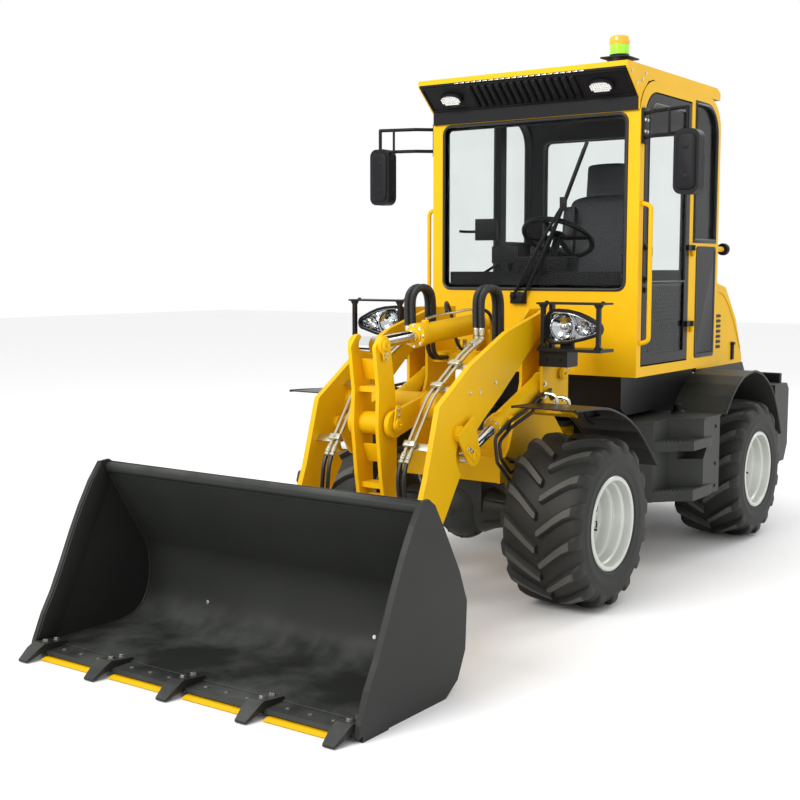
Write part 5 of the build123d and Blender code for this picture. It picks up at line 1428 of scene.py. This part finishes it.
class LOADER_OT_tank_steps(bpy.types.Operator):
    """Toothed tread edges of the tanks' steps, and the tanks' caps and plugs"""

    bl_idname = "loader.tank_steps"
    bl_label = "Tank steps"

    def execute(self, context):
        tooth = plate("tooth", [(-0.007, 0), (0.007, 0), (0.005, 0.006), (-0.005, 0.006)], 0.004,
                      spun(90, "X"))
        spacing = 0.021
        places = []
        edge = ((-0.824, 0.606), (-0.922, 0.692), (-0.969, 0.758), (-1.185, 0.758))
        for z in (0.400, 0.653):
            for (x0, y0), (x1, y1) in zip(edge, edge[1:]):
                run = Vector((x1 - x0, y1 - y0, 0))
                count = int(run.length / spacing)
                turn = Matrix.Rotation(math.atan2(run.y, run.x), 4, "Z")
                for index in range(count):
                    spot = at(x0, y0, z) + run * ((index + 0.5) / count)
                    places.append(Matrix.Translation(spot) @ turn)
        settle(repeated(tooth, places, "tread_teeth"), "rear_body", chassis_grey, both=True)
        x, y = -1.258, 0.551
        cap = turned("cap", [(0.036, 0.0), (0.038, 0.004), (0.038, 0.012), (0.030, 0.016),
                             (0.026, 0.018), (0.026, 0.040), (0.023, 0.044)], 28, put(x, y, 0.7605))
        bar = block("bar", (0.100, 0.020, 0.014), at(x, y, 0.8065), (0.003, 0.001))
        lock = tube("lock", [(-1.225, y, 0.775), (-1.200, 0.560, 0.800), (-1.205, 0.575, 0.820),
                             (-1.225, 0.585, 0.800)], 0.005)
        settle([cap, bar, lock], "rear_body", black_plastic, both=True, bevel=0.002)
        plugs = [(at(-1.300, 0.7505, z), Y_AXIS) for z in (0.700, 0.500, 0.380)]
        bolted("tank_plugs", "rear_body", in_pairs(plugs), (0.016, 0.006, 0.012), chassis_grey)
        return {"FINISHED"}


FENDER_LINE = ((-0.455, 0.600), (-0.361, 0.690), (-0.256, 0.780), (-0.140, 0.850), (0.0, 0.900),
               (0.130, 0.928), (0.390, 0.935))
REAR_FENDER_LINE = ((-1.355, 0.760), (-1.448, 0.850), (-1.530, 0.905), (-1.624, 0.945),
                    (-1.782, 0.967), (-1.917, 0.937), (-2.079, 0.850), (-2.200, 0.697),
                    (-2.262, 0.560))
FENDER_HOSES = ((0.020, 0.906), (0.140, 0.932))


class LOADER_OT_fenders(bpy.types.Operator):
    """Rolled edges, stays, bolts and hose couplings of the fenders"""

    bl_idname = "loader.fenders"
    bl_label = "Fenders"

    def execute(self, context):
        bead = context.scene.loader_sizes.fender_bead
        beads = [tube("fender_beads", [(x, y, z + 0.003) for x, z in FENDER_LINE], bead)
                 for y in (0.781, 0.474)]
        settle(beads, "front_body", black_paint, both=True)
        rear = tube("rear_fender_beads", [(x, 0.781, z + 0.003) for x, z in REAR_FENDER_LINE],
                    bead)
        settle(rear, "rear_body", chassis_grey, both=True)
        stay = tube("fender_stays", [(-0.050, 0.600, 0.880), (-0.045, 0.605, 0.850),
                                     (-0.060, 0.650, 0.828)], 0.006)
        brace = block("brace", (0.070, 0.030, 0.006), at(-0.070, 0.640, 0.862))
        settle([stay, brace], "front_body", black_paint, both=True)
        spots = [(at(x, y, z), Vector((-lean, 0, 1)).normalized())
                 for x, z, lean in ((-0.030, 0.8965, 0.35), (-0.190, 0.829, 0.5))
                 for y in (0.52, 0.66)]
        bolted("fender_bolts", "front_body", in_pairs(spots))
        elbows = [tube("elbow", [(x, 0.560, z), (x, 0.560, z + 0.030), (x, 0.540, z + 0.045),
                                 (x, 0.500, z + 0.045)], 0.008) for x, z in FENDER_HOSES]
        settle(elbows, "front_body", zinc, both=True)
        feeds = [tube("fender_hoses", [
            (x, 0.505, z + 0.045), (x - 0.02, 0.460, z + 0.040), (x - 0.08, 0.425, z + 0.020),
            (-0.060, 0.412, 0.960), (-0.110, 0.392, 0.970),
        ], 0.008) for x, z in FENDER_HOSES]
        settle(feeds, "front_body", hose_rubber, both=True)
        return {"FINISHED"}


# Radius and distance from the machine's middle along an axle's trumpet, and along the cover
# of its middle housing.
TRUMPET = (
    (0.118, 0.110), (0.094, 0.170), (0.078, 0.240), (0.072, 0.326), (0.108, 0.332),
    (0.116, 0.338), (0.116, 0.366), (0.108, 0.372), (0.098, 0.376), (0.112, 0.404),
    (0.131, 0.412), (0.131, 0.440), (0.126, 0.446), (0.126, 0.492), (0.118, 0.502),
)
AXLE_COVER = (
    (0.150, 0.012), (0.156, 0.018), (0.156, 0.034), (0.150, 0.040), (0.138, 0.042),
    (0.134, 0.062), (0.118, 0.098), (0.092, 0.126), (0.058, 0.144), (0.024, 0.151),
    (0.022, 0.156), (0.008, 0.157),
)


class LOADER_OT_axles(bpy.types.Operator):
    """Axle housings' flanges, covers, ribs and bolts"""

    bl_idname = "loader.axles"
    bl_label = "Axles"

    def execute(self, context):
        for name, axle_x, body, facing in (("front_axle", 0.0, "front_body", 1),
                                           ("rear_axle", -WHEELBASE, "rear_body", -1)):
            centre = at(axle_x, 0, AXLE_Z)
            housing = [turned("cover", AXLE_COVER, 56, standing(centre, facing * X_AXIS))]
            for hand in (1, -1):
                side = standing(centre, hand * Y_AXIS)
                housing.append(turned("trumpet", TRUMPET, 48, side))
                housing += [plate("rib", [(0.070, 0.150), (0.112, 0.130), (0.098, 0.330),
                                          (0.068, 0.332)], 0.012,
                                  side @ spun(turn, "Z") @ spun(90, "X") @ moved(0, 0, -0.006))
                            for turn in (35, 145, 215, 325)]
            settle(housing, body, chassis_grey, f"{name}_housing", bevel=0.0015, smooth=40)
            angles = [2 * math.pi * index / 12 for index in range(12)]
            spots = [(centre + Vector((facing * 0.040, 0.147 * math.cos(angle),
                                       0.147 * math.sin(angle))), facing * X_AXIS)
                     for angle in angles]
            half_step = math.pi / 12
            spots += [(centre + Vector((0.120 * math.cos(angle + half_step), hand * 0.4405,
                                        0.120 * math.sin(angle + half_step))), hand * Y_AXIS)
                      for hand in (1, -1) for angle in angles]
            bolted(f"{name}_bolts", body, spots, (0.015, 0.007, 0.009), chassis_grey)
        return {"FINISHED"}


TOOTH_PITCH = 0.381
BUCKET_HALF = 0.799
# The bucket's inside as (x, z): its floor, its back and its top.
BUCKET_INSIDE = ((1.860, 0.035), (1.600, 0.035), (1.446, 0.035), (1.358, 0.088), (1.321, 0.190),
                 (1.321, 0.326), (1.370, 0.408), (1.540, 0.684))
# The outer and the inner edge of the strip along each side's front.
STRIP_INNER = [(1.796, 0.160), (1.745, 0.250), (1.690, 0.360), (1.640, 0.470), (1.592, 0.560),
               (1.545, 0.645)]
STRIP_OUTER = [(1.588, 0.732), (1.638, 0.662), (1.692, 0.568), (1.742, 0.468), (1.792, 0.358),
               (1.847, 0.243), (1.897, 0.158), (1.938, 0.066)]


def corners_cut(line, times=3):
    """A line of points made smoother by cutting a quarter off each side of its corners."""
    for _ in range(times):
        cut = [line[0]]
        for (x0, z0), (x1, z1) in zip(line, line[1:]):
            cut += [(0.75 * x0 + 0.25 * x1, 0.75 * z0 + 0.25 * z1),
                    (0.25 * x0 + 0.75 * x1, 0.25 * z0 + 0.75 * z1)]
        line = cut + [line[-1]]
    return line


class LOADER_OT_bucket(bpy.types.Operator):
    """The bucket's smooth liner, side strips, weld beads, gussets and bolts"""

    bl_idname = "loader.bucket"
    bl_label = "Bucket"

    def execute(self, context):
        spots = [(at(x, index * TOOTH_PITCH, z), Vector((-0.11, 0, 0.994)))
                 for index in range(-2, 3) for x, z in ((1.872, 0.0528), (1.925, 0.0585))]
        bolted("tooth_bolts", "bucket", spots, (0.024, 0.010, 0.015), steel)
        spots = [(at(1.902, (index - 1.5) * 0.385 + across, 0.034), Z_AXIS)
                 for index in range(4) for across in (-0.100, 0.0, 0.100)]
        bolted("edge_bolts", "bucket", spots, (0.016, 0.004, 0.011), steel)
        spots = [(at(1.3447, y, 0.1410), Vector((0.94, 0, 0.34))) for y in (-0.435, 0.435)]
        bolted("back_bolts", "bucket", spots, (0.012, 0.004, 0.008))
        # A smooth liner over the shell's facets, held off the shell.
        middle = Vector((1.62, 0.42))
        under, over = [[tuple(Vector(spot) + (middle - Vector(spot)).normalized() * height)
                        for spot in corners_cut(BUCKET_INSIDE)] for height in (0.001, 0.005)]
        liner = plate("bucket_liner", over + under[::-1], 2 * BUCKET_HALF)
        settle(liner, "bucket", bucket_grey, place=side_place(-BUCKET_HALF))
        beads = [
            tube("weld_beads", [(x, BUCKET_HALF, z) for x, z in over], 0.0055, steps=1),
            tube("weld", [(x, 0.8165, z) for x, z in [(1.838, 0.080)] + STRIP_INNER], 0.0035,
                 steps=8),
            tube("weld", [(1.541, 0.795, 0.734), (1.541, 0.400, 0.7325), (1.541, 0.0, 0.7325)],
                 0.002),
        ]
        settle(beads, "bucket", bucket_grey, both=True)
        inner = plate("inner_strips", STRIP_OUTER + [(1.838, 0.066)] + STRIP_INNER, 0.006,
                      side_place(0.794))
        settle(inner, "bucket", bucket_grey, both=True, bevel=0.0015)
        # Gussets behind the bucket between its back and the hitch.
        gusset = plate("gusset", [(1.296, 0.360), (1.286, 0.250), (1.270, 0.300),
                                  (1.300, 0.420)], 0.012)
        gussets = repeated(gusset, [side_place(y) for y in (-0.60, -0.13, 0.118, 0.588)],
                           "bucket_gussets")
        settle(gussets, "bucket", bucket_grey, bevel=0.002)
        return {"FINISHED"}


class LOADER_OT_structure(bpy.types.Operator):
    """Bolts and weld beads of the boom, bolts of the tower, webs and bosses of the crank, and the
    rear lamp boxes
    """

    bl_idname = "loader.structure"
    bl_label = "Structure"

    def execute(self, context):
        bolts = [(at(x, LOADER_Y + 0.0125, z), Y_AXIS)
                 for x, z in ((0.510, 1.000), (0.428, 0.998), (0.300, 1.030))]
        bolted("boom_bolts", "boom", bolts, (0.014, 0.006, 0.009), both=True)
        bolts = [(at(x, 0.385, z), Y_AXIS)
                 for x, z in ((-0.065, 0.940), (-0.065, 1.000), (-0.250, 0.910), (-0.160, 0.910),
                              (-0.080, 1.235), (-0.270, 1.320), (-0.140, 1.320))]
        bolted("tower_bolts", "front_body", bolts, both=True)
        # Welds where the cross tube meets the boom plates and its brackets.
        welds = [turned("bead", [(0.0595, -0.004), (0.064, -0.003), (0.0655, 0.0), (0.064, 0.003),
                                 (0.0595, 0.004), (0.0595, -0.004)], 48,
                        standing(at(0.500, y, 0.930), Y_AXIS), ring=True)
                 for y in (0.3095, 0.1085, 0.0855)]
        settle(welds, "boom", yellow, both=True)
        # Webs between the bell crank's plates.
        webs = []
        for (x0, z0), (x1, z1) in (((0.770, 1.150), (0.742, 1.060)), ((0.760, 0.780), (0.730, 0.700)),
                                   ((0.725, 0.560), (0.708, 0.460))):
            run = Vector((x1 - x0, 0, z1 - z0))
            webs.append(placed(block("web", (0.012, 0.112, run.length)),
                               put((x0 + x1) / 2, 0, (z0 + z1) / 2)
                               @ Matrix.Rotation(math.atan2(run.x, run.z), 4, "Y")))
        settle(webs, "bell_crank", yellow, "crank_webs", bevel=0.003)
        bosses = [turned("boss", [(0.040, 0.0), (0.040, 0.010), (0.036, 0.014)], 36,
                         standing(at(x, 0.0735, z), Y_AXIS))
                  for x, z in ((0.745, 0.870), (0.790, 1.210))]
        settle(bosses, "bell_crank", yellow, both=True)
        # Lamp boxes on the counterweight's top, each with its red lens.
        box = block("rear_clusters", (0.046, 0.190, 0.058), at(-2.742, 0.520, 0.849),
                    (0.006, 0.002))
        settle(box, "rear_body", black_plastic, both=True, bevel=0.004, segments=3)
        glow = block("rear_lenses", (0.174, 0.042, 0.006), field=(0.006, 0.002))
        settle(glow, "rear_body", red_lens, place=standing(at(-2.7675, 0.520, 0.849), -X_AXIS),
               both=True, bevel=0.0015)
        return {"FINISHED"}


class LOADER_PT_dressing(bpy.types.Panel):
    """The loader's pieces, one button each"""

    bl_idname = "LOADER_PT_dressing"
    bl_label = "Loader"
    bl_space_type = "VIEW_3D"
    bl_region_type = "UI"
    bl_category = "Loader"

    def draw(self, context):
        for operator in OPERATORS:
            self.layout.operator(operator.bl_idname)


PROPERTIES = (LoaderPaints, LoaderSizes, LoaderCamera)
OPERATORS = (
    LOADER_OT_stage, LOADER_OT_finishes, LOADER_OT_tyres, LOADER_OT_rims, LOADER_OT_boom_lines,
    LOADER_OT_tower_hoses, LOADER_OT_cylinders, LOADER_OT_pins, LOADER_OT_headlamps,
    LOADER_OT_visor, LOADER_OT_roof_gear, LOADER_OT_windows, LOADER_OT_door, LOADER_OT_mirrors,
    LOADER_OT_interior, LOADER_OT_hood, LOADER_OT_tank_steps, LOADER_OT_fenders, LOADER_OT_axles,
    LOADER_OT_bucket, LOADER_OT_structure,
)
CLASSES = PROPERTIES + OPERATORS + (LOADER_PT_dressing,)


def register():
    for item in CLASSES:
        bpy.utils.register_class(item)
    bpy.types.Scene.loader_paints = bpy.props.PointerProperty(type=LoaderPaints)
    bpy.types.Scene.loader_sizes = bpy.props.PointerProperty(type=LoaderSizes)
    bpy.types.Scene.loader_camera = bpy.props.PointerProperty(type=LoaderCamera)


def unregister():
    del bpy.types.Scene.loader_camera
    del bpy.types.Scene.loader_sizes
    del bpy.types.Scene.loader_paints
    for item in reversed(CLASSES):
        bpy.utils.unregister_class(item)


def main():
    register()
    for operator in OPERATORS:
        family, name = operator.bl_idname.split(".")
        getattr(getattr(bpy.ops, family), name)()


if __name__ == "__main__":
    main()
